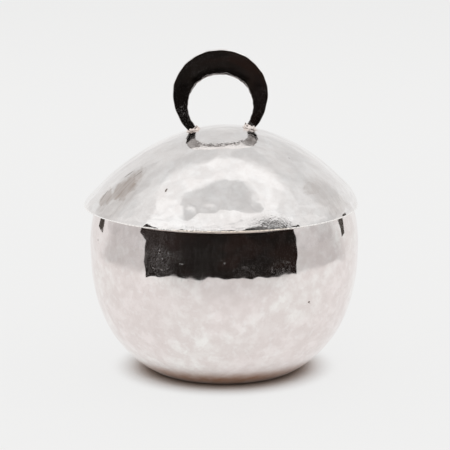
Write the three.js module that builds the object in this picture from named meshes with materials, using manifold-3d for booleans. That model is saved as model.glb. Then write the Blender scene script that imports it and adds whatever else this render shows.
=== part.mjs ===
// Covered sugar bowl in hand-hammered silver plate: a round bowl raised from one sheet,
// and a domed lid with a locating collar inside it and a flat ring that stands as its handle.
// Millimetres, +Z up. The origin is the middle of the base, on the table.
import * as THREE from "three";
import { mergeVertices } from "three/addons/utils/BufferGeometryUtils.js";
import Module from "manifold-3d";

const wasm = await Module();
wasm.setup();

// Bowl: radii and heights are of the outer face
const bowlRadius = 55;
const bowlSheet = 1.2;
const baseRadius = 29;
const widestHeight = 53;
const bellyFullness = 2.4; // exponent of the belly curve: 2 is an ellipse, more is squarer
const mouthRise = 21.1; // mouth above the widest height
const mouthDrawIn = 4.5; // how much narrower the mouth is than the widest radius

// Lid dome: heights are above the brim
const brimOverhang = 5.5; // brim beyond the mouth
const lidSheet = 1.2;
const domeRise = 32;
const crownPull = 28.5; // length of the flat control arm at the crown
const brimPull = 7.3; // length of the control arm at the brim
const brimSlope = THREE.MathUtils.degToRad(70);
const seatGap = 0.3; // lid to mouth, so that the two solids stay apart
const crownLean = 1; // the crown was raised this far off the axis, towards +X
const brimLean = -1.3; // and the brim this far, towards -X

// Collar inside the lid, which keeps it on the mouth
const collarSheet = 1;
const collarPlay = 0.8; // collar to the inside of the mouth, all round
const collarDepth = 7; // collar below the mouth's edge
const seamSolder = 1.5; // legs of the solder in the corner between collar and dome
const joinGap = 0.3; // between soldered pieces

// Ring handle: heights are above the crown
const ringHalfWidth = 19.1;
const ringMiddleRise = 13.2;
const ringUpperHeight = 18; // outline above its middle
const ringLowerHeight = 20.5; // outline below its middle, partly cut away by the dome
const fingerHoleRadius = 13.1;
const fingerHoleRise = 8.3;
const ringPlate = 2;
const ringEdgeBevel = 0.3;
const ringOffset = -1.6; // the ring was soldered on this far off the axis

// Solder round each foot of the ring
const solderReach = 1.4; // beyond the foot, along the plate
const solderSpread = 1.5; // beyond the plate's faces
const solderHeight = 1.5;

// Facets
const roundSteps = 72;
const bellySteps = 14;
const shoulderSteps = 5;
const domeSteps = 14;
const ringSteps = 24;
const solderSteps = 20;

const mouthRadius = bowlRadius - mouthDrawIn;
const mouthHeight = widestHeight + mouthRise;
const brimRadius = mouthRadius + brimOverhang;
const bellyDepth = widestHeight / (1 - (baseRadius / bowlRadius) ** bellyFullness) ** (1 / bellyFullness);
const shoulderHeight = mouthRise / Math.sqrt(1 - (mouthRadius / bowlRadius) ** 2);

const bowlSilver = () => new THREE.MeshStandardMaterial({ color: 0xd6cdca, roughness: 0.2, metalness: 1 });
const lidSilver = () => new THREE.MeshStandardMaterial({ color: 0xdddad6, roughness: 0.16, metalness: 1 });
const ringSilver = () => new THREE.MeshStandardMaterial({ color: 0xc9c4bf, roughness: 0.14, metalness: 1 });
const solderSilver = () => new THREE.MeshStandardMaterial({ color: 0xe3d2c4, roughness: 0.3, metalness: 1 });

function namedMesh(name, geometry, material) {
  const mesh = new THREE.Mesh(geometry, material);
  mesh.name = name;
  return mesh;
}

// Only positions, with shared corners merged and the flat triangles at the axis dropped
function weld(geometry) {
  geometry.deleteAttribute("normal");
  geometry.deleteAttribute("uv");
  const welded = mergeVertices(geometry, 1e-4);
  const corners = welded.index.array;
  const kept = [];
  for (let i = 0; i < corners.length; i += 3) {
    const [a, b, c] = corners.slice(i, i + 3);
    if (a !== b && b !== c && c !== a) {
      kept.push(a, b, c);
    }
  }
  welded.setIndex(kept);
  return welded;
}

function toSolid(geometry) {
  const welded = weld(geometry);
  const vertProperties = new Float32Array(welded.attributes.position.array);
  const triVerts = new Uint32Array(welded.index.array);
  return new wasm.Manifold(new wasm.Mesh({ numProp: 3, vertProperties, triVerts }));
}

function toGeometry(solid) {
  const cut = solid.getMesh();
  const geometry = new THREE.BufferGeometry();
  geometry.setAttribute("position", new THREE.BufferAttribute(cut.vertProperties, 3));
  geometry.setIndex(new THREE.BufferAttribute(cut.triVerts, 1));
  geometry.computeVertexNormals();
  return geometry;
}

// Turns a closed profile of (radius, height) points about the vertical axis
function revolve(profile) {
  const turned = new THREE.LatheGeometry(profile, roundSteps);
  turned.rotateX(Math.PI / 2);
  const solid = weld(turned);
  solid.computeVertexNormals();
  return solid;
}

// Bowl wall from the floor up to the mouth, drawn inside the outer face by the inset
function bowlWall(inset) {
  const radius = bowlRadius - inset;
  const depth = bellyDepth - inset;
  const height = shoulderHeight - inset;
  const roundness = 2 / bellyFullness;
  const lowest = Math.asin(((widestHeight - inset) / depth) ** (1 / roundness));
  const highest = Math.asin(mouthRise / height);
  const wall = [];
  for (let i = 0; i < bellySteps; i += 1) {
    const angle = lowest * (1 - i / bellySteps);
    const drop = depth * Math.sin(angle) ** roundness;
    wall.push(new THREE.Vector2(radius * Math.cos(angle) ** roundness, widestHeight - drop));
  }
  for (let i = 0; i <= shoulderSteps; i += 1) {
    const angle = (highest * i) / shoulderSteps;
    wall.push(new THREE.Vector2(radius * Math.cos(angle), widestHeight + height * Math.sin(angle)));
  }
  return wall;
}

function bowlBody() {
  const outer = bowlWall(0);
  const inner = bowlWall(bowlSheet).reverse();
  return revolve([new THREE.Vector2(0, 0), ...outer, ...inner, new THREE.Vector2(0, bowlSheet)]);
}

// Outer face of the dome, from the crown down to the brim
const domeCurve = new THREE.CubicBezierCurve(
  new THREE.Vector2(0, domeRise),
  new THREE.Vector2(crownPull, domeRise),
  new THREE.Vector2(brimRadius - brimPull * Math.cos(brimSlope), brimPull * Math.sin(brimSlope)),
  new THREE.Vector2(brimRadius, 0),
);

// Point of the dome's curve, moved outwards by an offset, or inwards when it is negative
function domePoint(along, offset) {
  const point = domeCurve.getPoint(along);
  const tangent = domeCurve.getTangent(along);
  return new THREE.Vector2(point.x - tangent.y * offset, point.y + tangent.x * offset);
}

function domeFace(offset) {
  return Array.from({ length: domeSteps + 1 }, (_, i) => domePoint(i / domeSteps, offset));
}

// Height of the dome's face at a radius, found by halving
function domeHeightAt(radius, offset) {
  let low = 0;
  let high = 1;
  for (let i = 0; i < 40; i += 1) {
    const middle = (low + high) / 2;
    if (domePoint(middle, offset).x < radius) {
      low = middle;
    } else {
      high = middle;
    }
  }
  return domePoint(low, offset).y;
}

const collarRadius = bowlWall(bowlSheet).at(-1).x - collarPlay;

// The lid is true only round its seat: its crown and brim wander from the axis
function leanAt(radius) {
  const seatInside = collarRadius - collarSheet;
  if (radius < seatInside) {
    return crownLean * (1 - (radius / seatInside) ** 2);
  }
  const beyondSeat = Math.max(0, radius - mouthRadius);
  return brimLean * (beyondSeat / brimOverhang) ** 2;
}

function leaned(geometry) {
  const position = geometry.attributes.position;
  for (let i = 0; i < position.count; i += 1) {
    const radius = Math.hypot(position.getX(i), position.getY(i));
    position.setX(i, position.getX(i) + leanAt(radius));
  }
  geometry.computeVertexNormals();
  return geometry;
}

function lidDome() {
  const outer = domeFace(0).reverse();
  const inner = domeFace(-lidSheet);
  return leaned(revolve([...inner, ...outer]));
}

// Everything up to a joint's gap over the dome, to cut the ring and its solder to the dome
function domeFilled() {
  const face = domeFace(joinGap).reverse();
  const floor = new THREE.Vector2(0, face[0].y);
  return leaned(revolve([floor, ...face]));
}

// Lowest and highest edge of the collar, in the lid's own frame
const brimHeight = mouthHeight - domeHeightAt(mouthRadius, -lidSheet - seatGap);
const collarFoot = mouthHeight - collarDepth - brimHeight;

function lidCollar() {
  const inside = collarRadius - collarSheet;
  const clearance = -lidSheet - joinGap;
  return revolve([
    new THREE.Vector2(inside, collarFoot),
    new THREE.Vector2(collarRadius, collarFoot),
    new THREE.Vector2(collarRadius, domeHeightAt(collarRadius, clearance)),
    new THREE.Vector2(inside, domeHeightAt(inside, clearance)),
    new THREE.Vector2(inside, collarFoot),
  ]);
}

// The fillet of solder that runs round inside the collar, in its corner with the dome
function seamRing() {
  const outside = collarRadius - collarSheet - joinGap;
  const clearance = -lidSheet - joinGap;
  const corner = new THREE.Vector2(outside, domeHeightAt(outside, clearance));
  const edge = new THREE.Vector2(outside - seamSolder, domeHeightAt(outside - seamSolder, clearance));
  return revolve([corner, edge, new THREE.Vector2(outside, corner.y - seamSolder), corner]);
}

// Half widths of the ring's outline and of its finger hole, at a height in the lid's frame
function outlineHalfWidth(height) {
  const drop = domeRise + ringMiddleRise - height;
  return ringHalfWidth * Math.sqrt(1 - (drop / ringLowerHeight) ** 2);
}

function holeHalfWidth(height) {
  return Math.sqrt(fingerHoleRadius ** 2 - (domeRise + fingerHoleRise - height) ** 2);
}

// The pierced plate, grown all over by a margin
function ringPlateShape(margin) {
  const middle = domeRise + ringMiddleRise;
  const width = ringHalfWidth + margin;
  const shape = new THREE.Shape();
  shape.absellipse(ringOffset, middle, width, ringUpperHeight + margin, 0, Math.PI, false, 0);
  shape.absellipse(ringOffset, middle, width, ringLowerHeight + margin, Math.PI, 2 * Math.PI, false, 0);
  const hole = new THREE.Path();
  hole.absarc(ringOffset, domeRise + fingerHoleRise, fingerHoleRadius - margin, 0, 2 * Math.PI, true);
  shape.holes.push(hole);
  return shape;
}

function uprightPlate(margin) {
  const thickness = ringPlate + 2 * margin;
  const plate = new THREE.ExtrudeGeometry(ringPlateShape(margin), {
    depth: thickness - 2 * ringEdgeBevel,
    bevelThickness: ringEdgeBevel,
    bevelSize: ringEdgeBevel,
    bevelOffset: -ringEdgeBevel,
    bevelSegments: 1,
    curveSegments: ringSteps,
  });
  plate.translate(0, 0, ringEdgeBevel - thickness / 2);
  plate.rotateX(Math.PI / 2);
  return plate;
}

const domeCutter = toSolid(domeFilled());

function ringHandle() {
  return toGeometry(toSolid(uprightPlate(0)).subtract(domeCutter));
}

// A low mound of solder that wraps one foot of the ring; side is -1 or 1
function footSolder(side) {
  const surfaceRadius = (outlineHalfWidth(domeRise) + holeHalfWidth(domeRise)) / 2;
  const across = ringOffset + side * surfaceRadius;
  const surface = domeHeightAt(Math.abs(across - crownLean), 0);
  const outer = outlineHalfWidth(surface);
  const inner = holeHalfWidth(surface);
  const mound = new THREE.SphereGeometry(1, solderSteps, solderSteps / 2);
  mound.rotateX(Math.PI / 2);
  mound.scale((outer - inner) / 2 + solderReach, ringPlate / 2 + solderSpread, solderHeight + joinGap);
  mound.translate(ringOffset + (side * (outer + inner)) / 2, 0, surface);
  return toGeometry(toSolid(mound).subtract(domeCutter).subtract(toSolid(uprightPlate(joinGap))));
}

const lid = new THREE.Group();
lid.position.z = brimHeight;
lid.add(
  namedMesh("lid_dome", lidDome(), lidSilver()),
  namedMesh("lid_collar", lidCollar(), lidSilver()),
  namedMesh("collar_solder", seamRing(), solderSilver()),
  namedMesh("ring_handle", ringHandle(), ringSilver()),
  namedMesh("handle_solder_left", footSolder(-1), solderSilver()),
  namedMesh("handle_solder_right", footSolder(1), solderSilver()),
);

const sugarBowl = new THREE.Group();
sugarBowl.add(namedMesh("bowl_body", bowlBody(), bowlSilver()), lid);

export default sugarBowl;
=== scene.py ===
"""Looks of a covered sugar bowl in hand-hammered silver plate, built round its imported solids.

Metres, +Z up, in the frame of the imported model: the bowl stands on the floor at the origin, and the
ring handle's plate stands across the view. The bowl, the lid with its collar, the ring and the solder
are sheets and beads of real thickness, with the hammer's marks in their meshes.
"""
import logging
import math
from dataclasses import dataclass, field
from enum import Enum

import bpy
import numpy as np
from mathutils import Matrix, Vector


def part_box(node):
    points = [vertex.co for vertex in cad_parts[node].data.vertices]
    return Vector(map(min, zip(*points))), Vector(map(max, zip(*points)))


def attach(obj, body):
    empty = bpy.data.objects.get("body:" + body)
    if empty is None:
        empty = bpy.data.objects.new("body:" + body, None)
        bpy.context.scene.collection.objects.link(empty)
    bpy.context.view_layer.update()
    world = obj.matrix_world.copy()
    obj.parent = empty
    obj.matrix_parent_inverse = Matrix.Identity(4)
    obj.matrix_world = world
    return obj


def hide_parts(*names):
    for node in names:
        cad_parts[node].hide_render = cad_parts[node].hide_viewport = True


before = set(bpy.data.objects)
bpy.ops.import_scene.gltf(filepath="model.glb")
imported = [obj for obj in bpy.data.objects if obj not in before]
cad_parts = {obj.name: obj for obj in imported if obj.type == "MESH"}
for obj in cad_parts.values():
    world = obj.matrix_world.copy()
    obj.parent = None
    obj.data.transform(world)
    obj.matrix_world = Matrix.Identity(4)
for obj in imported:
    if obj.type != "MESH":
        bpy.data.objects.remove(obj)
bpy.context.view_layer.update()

MM = 0.001
LEAST_AHEAD = 0.02  # the least cosine between a direction and a panel's middle
SQUARENESS = 4.0  # the power that gives the tent's panels their rounded square outline
EDGE_BULGE = 0.15  # how far a sheet's rounded edge stands out, as a share of half its thickness
TURN = 2.0 * math.pi
MEAN_NOISE = 0.5  # the middle of what a noise texture gives
PLAIN_MEAN = (0.34, 0.33, 0.33)  # the shares in which a random colour is made one number
Array = np.ndarray
Triple = tuple[float, float, float]
Colour = Triple
Pair = tuple[float, float]
Range = Pair
Faces = list[tuple[int, ...]]
Socket = bpy.types.NodeSocket
log = logging.getLogger("sugar_bowl")


class Zone(Enum):
    """The side of a metal sheet that a row of its mesh lies on."""

    OUTSIDE = 0
    EDGE = 1
    INSIDE = 2


class Metal(Enum):
    """The finishes of the object, each with the name of its material slot."""

    BOWL = "bowl_silver"
    LID = "lid_silver"
    RING = "ring_silver"
    SOLDER = "solder_silver"


def smooth_step(low: float, high: float, value: Array) -> Array:
    """Rises from 0 at low to 1 at high, with level ends.

    Args:
        low: where the result is 0.
        high: where the result is 1; it may be less than low.
        value: the numbers to map.

    Returns:
        The mapped numbers, from 0 to 1.
    """
    share = np.clip((value - low) / (high - low), 0.0, 1.0)
    return share * share * (3.0 - 2.0 * share)


def bezier(ends: list[Pair], share: Array) -> Array:
    """Points of a Bezier curve of any degree in the plane.

    Args:
        ends: its control points.
        share: how far along the curve each point lies, from 0 to 1.

    Returns:
        One (radius, height) row for each share.
    """
    points = [np.outer(np.ones_like(share), end) for end in ends]
    while len(points) > 1:
        near, far = points[:-1], points[1:]
        points = [a + (b - a) * share[:, None] for a, b in zip(near, far)]
    return points[0]


@dataclass(frozen=True)
class HammerMarks:
    """Overlapping blows of a planishing hammer, each a shallow dish with a low ridge round it."""

    spacing: float
    dish: float  # how much flatter than the surface each mark is, per metre
    tilt: float  # degrees that a mark leans
    ridge: float  # height over which neighbouring marks blend
    seed: int
    candidates: int = 9000
    nearest: float = 0.72  # least distance between two blows, as a share of the spacing
    chunk: int = 1500

    def blows(self, points: Array, random: np.random.Generator) -> Array:
        """Picks where the blows fell, from the surface's own points.

        Args:
            points: points of the surface.
            random: the source of chance.

        Returns:
            One point for each blow.
        """
        tried = points[random.permutation(len(points))[: self.candidates]]
        kept = tried[:1]
        least = (self.nearest * self.spacing) ** 2
        for point in tried[1:]:
            if ((kept - point) ** 2).sum(1).min() > least:
                kept = np.vstack([kept, point])
        return kept

    def heights(self, points: Array) -> Array:
        """How far the marks raise each point, with a mean of zero.

        Args:
            points: points of the surface.

        Returns:
            One height for each point, along the surface's normal.
        """
        random = np.random.default_rng(self.seed)
        centres = self.blows(points, random)
        leans = random.normal(0.0, math.tan(math.radians(self.tilt)), centres.shape)
        slopes = (leans - self.dish * centres).T
        offset = (centres * (self.dish / 2.0 * centres - leans)).sum(1)
        found = np.empty(len(points))
        for start in range(0, len(points), self.chunk):
            near = points[start : start + self.chunk]
            rise = near @ slopes + offset + self.dish / 2.0 * (near**2).sum(1, keepdims=True)
            least = rise.min(1, keepdims=True)
            total = np.exp(-(rise - least) / self.ridge).sum(1)
            found[start : start + self.chunk] = least[:, 0] - self.ridge * np.log(total)
        return found - found.mean()


@dataclass(frozen=True)
class Swell:
    """A low bump, or a dent where its height is negative, in both faces of a sheet."""

    azimuth: float  # degrees from the front, towards +X
    level: float  # height of its middle above the floor
    across: float
    along: float
    height: float


@dataclass(frozen=True)
class SlowWave:
    """Long unevenness of a hand-raised sheet, as a few plane waves of random direction."""

    length: float
    height: float
    seed: int
    count: int = 7
    stretch: Range = (0.7, 1.5)  # least and greatest share of the plain frequency

    def heights(self, points: Array) -> Array:
        """How far the waves raise each point.

        Args:
            points: points of the surface.

        Returns:
            One height for each point, along the surface's normal.
        """
        random = np.random.default_rng(self.seed)
        ways = random.normal(size=(self.count, 3))
        ways /= np.linalg.norm(ways, axis=1, keepdims=True)
        stretch = random.uniform(*self.stretch, self.count)
        phases = random.uniform(0.0, TURN, self.count)
        turns = points @ (ways * stretch[:, None]).T * TURN / self.length
        return self.height * np.sin(turns + phases).mean(1) * math.sqrt(self.count)


@dataclass
class Section:
    """The cut through a turned sheet: rows of (radius, height), with the way out of the metal."""

    points: Array
    zones: Array
    closed: bool = False

    def normals(self) -> Array:
        """Finds the unit normals out of the metal.

        Returns:
            One for each row.
        """
        if self.closed:
            run = np.roll(self.points, -1, 0) - np.roll(self.points, 1, 0)
        else:
            run = np.gradient(self.points, axis=0)
        run /= np.linalg.norm(run, axis=1, keepdims=True)
        return np.stack([run[:, 1], -run[:, 0]], 1)

    def outward(self) -> Array:
        """Finds the way from the sheet's inside to its outside.

        Returns:
            One unit vector for each row.
        """
        normals = self.normals()
        inside = self.zones == Zone.INSIDE.value
        ways = np.where(inside[:, None], -normals, normals)
        outer = np.flatnonzero(self.zones == Zone.OUTSIDE.value)
        for row in np.flatnonzero(self.zones == Zone.EDGE.value):
            ways[row] = normals[outer[np.argmin(np.abs(outer - row))]]
        return ways


@dataclass
class TurnedSheet:
    """Turns a section about the vertical axis into a mesh, with fewer columns near the axis."""

    section: Section
    columns: int
    finest: float  # a row's columns are halved while their width stays under this

    def counts(self) -> list[int]:
        """Finds how many columns each row has.

        Returns:
            One number for each row.
        """
        found = []
        for radius, zone in zip(self.section.points[:, 0], self.section.zones):
            count = self.columns // 2 if zone == Zone.INSIDE.value else self.columns
            while radius > 0 and count % 2 == 0 and TURN * radius / count < self.finest:
                count //= 2
            found.append(count if radius > 0 else 1)
        return found

    def grid(self) -> tuple[Array, Array, Array, Array]:
        """Lays out all vertices.

        Returns:
            Their points, normals, ways out through the sheet, and rows.
        """
        flat = (self.section.points, self.section.normals(), self.section.outward())
        parts = []
        for row, count in enumerate(self.counts()):
            turn = np.arange(count) * TURN / count
            ring = np.stack([np.cos(turn), np.sin(turn)], 1)
            round_axis = [np.column_stack([p[row, 0] * ring, np.full(count, p[row, 1])]) for p in flat]
            parts.append((*round_axis, np.full(count, row)))
        return tuple(np.concatenate(part) for part in zip(*parts))

    def faces(self) -> tuple[Faces, list[int]]:
        """Joins neighbouring rows.

        Returns:
            The faces as vertex numbers, and the row that each starts at.
        """
        counts = self.counts()
        starts = np.concatenate([[0], np.cumsum(counts)])
        faces: Faces = []
        rows: list[int] = []
        last = len(counts) if self.section.closed else len(counts) - 1
        for row in range(last):
            following = (row + 1) % len(counts)
            made = self.band(starts[row], counts[row], starts[following], counts[following])
            faces.extend(made)
            rows.extend([row] * len(made))
        return faces, rows

    @staticmethod
    def band(low: int, low_count: int, high: int, high_count: int) -> Faces:
        """The faces between two rows of vertices, of which one may have half the columns.

        Args:
            low: first vertex of the lower row.
            low_count: vertices of the lower row.
            high: first vertex of the upper row.
            high_count: vertices of the upper row.

        Returns:
            The faces, wound so that they face out of the metal.
        """
        if low_count == 1:
            return [(low, high + (j + 1) % high_count, high + j) for j in range(high_count)]
        if high_count == 1:
            return [(low + j, low + (j + 1) % low_count, high) for j in range(low_count)]
        faces: Faces = []
        fewer, more = sorted((low_count, high_count))
        start = low if low_count == more else high
        for j in range(fewer):
            k = (j + 1) % fewer
            a, b, c = start + 2 * j, start + 2 * j + 1, start + (2 * j + 2) % more
            if fewer == more:
                faces.append((low + j, low + k, high + k, high + j))
            elif start == low:
                faces += [(a, b, high + j), (b, high + k, high + j), (b, c, high + k)]
            else:
                faces += [(low + j, b, a), (low + j, low + k, b), (low + k, c, b)]
        return faces


def make_piece(name: str, points: Array, faces: Faces) -> bpy.types.Object:
    """Makes a smooth mesh object and links it to the scene.

    Args:
        name: the piece's name.
        points: its vertices.
        faces: its faces as vertex numbers.

    Returns:
        The new object.
    """
    mesh = bpy.data.meshes.new(name)
    mesh.from_pydata(points.tolist(), [], faces)
    mesh.polygons.foreach_set("use_smooth", [True] * len(mesh.polygons))
    mesh.update()
    piece = bpy.data.objects.new(name, mesh)
    bpy.context.scene.collection.objects.link(piece)
    return piece


def report(piece: bpy.types.Object) -> None:
    """Logs a finished piece's name and size."""
    mesh = piece.data
    log.info("%s: %d vertices, %d faces", piece.name, len(mesh.vertices), len(mesh.polygons))


class NodeGraph:
    """Short calls for building a node tree; inputs that share a name are told apart by number."""

    def __init__(self, owner: bpy.types.ID) -> None:
        """Starts an empty node tree that knows where the surface is, in its object's frame.

        Args:
            owner: the material or the world that the tree is for.
        """
        owner.use_nodes = True
        self.tree = owner.node_tree
        self.tree.nodes.clear()
        self.ways = self.node("ShaderNodeTexCoord").outputs
        self.place = self.ways["Object"]

    def node(self, kind: str, inputs: dict | None = None, **settings: object) -> bpy.types.Node:
        """Adds a node.

        Args:
            kind: the node's type.
            inputs: what to link or set, by the input's name or number.
            settings: the node's own properties.

        Returns:
            The node.
        """
        made = self.tree.nodes.new(kind)
        for name, value in settings.items():
            setattr(made, name, value)
        for key, value in (inputs or {}).items():
            self.feed(made.inputs[key], value)
        return made

    def feed(self, socket: Socket, value: object) -> None:
        """Links a socket to an output, or sets its own value.

        Args:
            socket: the socket.
            value: the output or the value; a colour gets full alpha.
        """
        if isinstance(value, Socket):
            self.tree.links.new(value, socket)
        elif socket.type == "RGBA":
            socket.default_value = (*value, 1.0)
        else:
            socket.default_value = value

    def maths(self, operation: str, *values: object) -> Socket:
        """The result of a Math node on up to three values."""
        node = self.node("ShaderNodeMath", dict(enumerate(values)), operation=operation)
        return node.outputs[0]

    def vectors(self, operation: str, *values: object) -> Socket:
        """Adds a Vector Math node.

        Args:
            operation: what it does.
            values: what it works on.

        Returns:
            Its result, which is a number for a length or a dot product.
        """
        node = self.node("ShaderNodeVectorMath", dict(enumerate(values)), operation=operation)
        scalar = operation in ("LENGTH", "DOT_PRODUCT")
        return node.outputs["Value" if scalar else "Vector"]

    def ramp(self, value: object, low: float, high: float) -> Socket:
        """Adds a smooth step.

        Args:
            value: the value to map.
            low: where the result is 0.
            high: where the result is 1.

        Returns:
            The mapped value.
        """
        inputs = {"Value": value, "From Min": low, "From Max": high}
        node = self.node("ShaderNodeMapRange", inputs, interpolation_type="SMOOTHSTEP")
        return node.outputs["Result"]

    def between(self, share: object, low: object, high: object) -> Socket:
        """A number that goes from low to high as share goes from 0 to 1."""
        node = self.node("ShaderNodeMix", {0: share, 2: low, 3: high}, data_type="FLOAT")
        return node.outputs[0]

    def tint(self, share: object, low: object, high: object) -> Socket:
        """A colour that goes from low to high as share goes from 0 to 1."""
        node = self.node("ShaderNodeMix", {0: share, 6: low, 7: high}, data_type="RGBA")
        return node.outputs[2]

    def parts(self, place: Socket) -> bpy.types.bpy_prop_collection:
        """The X, Y and Z of a place or a direction."""
        return self.node("ShaderNodeSeparateXYZ", {0: place}).outputs

    def noise(self, size: float, detail: float = 2.0, place: Socket | None = None) -> Socket:
        """Smooth noise with patches of about the given size, on the surface or at another place."""
        inputs = {"Vector": place or self.place, "Scale": 1.0 / size, "Detail": detail}
        return self.node("ShaderNodeTexNoise", inputs).outputs[0]

    def shaken(self, place: Socket, scale: float, reach: float, detail: float = 2.0) -> Socket:
        """A place that is moved by smooth noise.

        Args:
            place: the place.
            scale: how fine the noise is.
            reach: how far it moves, from one end to the other.
            detail: how many finer layers the noise has.

        Returns:
            The moved place.
        """
        inputs = {"Vector": place, "Scale": scale, "Detail": detail}
        shift = self.node("ShaderNodeTexNoise", inputs).outputs["Color"]
        shift = self.vectors("SUBTRACT", shift, (MEAN_NOISE,) * 3)
        return self.vectors("ADD", place, self.vectors("MULTIPLY", shift, (reach,) * 3))

    def mapped(self, location: Triple, turn: Triple, scale: Triple) -> Socket:
        """The surface's place as seen from a frame that is moved, turned and scaled."""
        inputs = {"Vector": self.place, "Location": location, "Rotation": turn, "Scale": scale}
        return self.node("ShaderNodeMapping", inputs, vector_type="TEXTURE").outputs[0]


@dataclass(frozen=True)
class Mark:
    """A nick, pit or smudge: an ellipsoid, in millimetres, in which the finish changes."""

    place: Triple
    size: Triple
    turn: Triple = (0.0, 0.0, 0.0)
    strength: float = 1.0
    ramp: Range = (1.0, 0.55)  # from its outline inwards, as a share of its size
    grain: float = 0.45  # how coarse its outline's roughness is, as a share of its size

    def reach(self, graph: NodeGraph, ragged: float) -> Socket:
        """How strongly the mark shows.

        Args:
            graph: the node tree.
            ragged: how much noise roughens its outline.

        Returns:
            From 0 to its strength.
        """
        middle = tuple(value * MM for value in self.place)
        size = tuple(value * MM for value in self.size)
        inner = graph.mapped(middle, self.turn, size)
        apart = graph.vectors("LENGTH", inner)
        rough = graph.maths("SUBTRACT", graph.noise(self.grain, place=inner), MEAN_NOISE)
        edge = graph.maths("ADD", apart, graph.maths("MULTIPLY", rough, ragged))
        return graph.maths("MULTIPLY", graph.ramp(edge, *self.ramp), self.strength)


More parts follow.
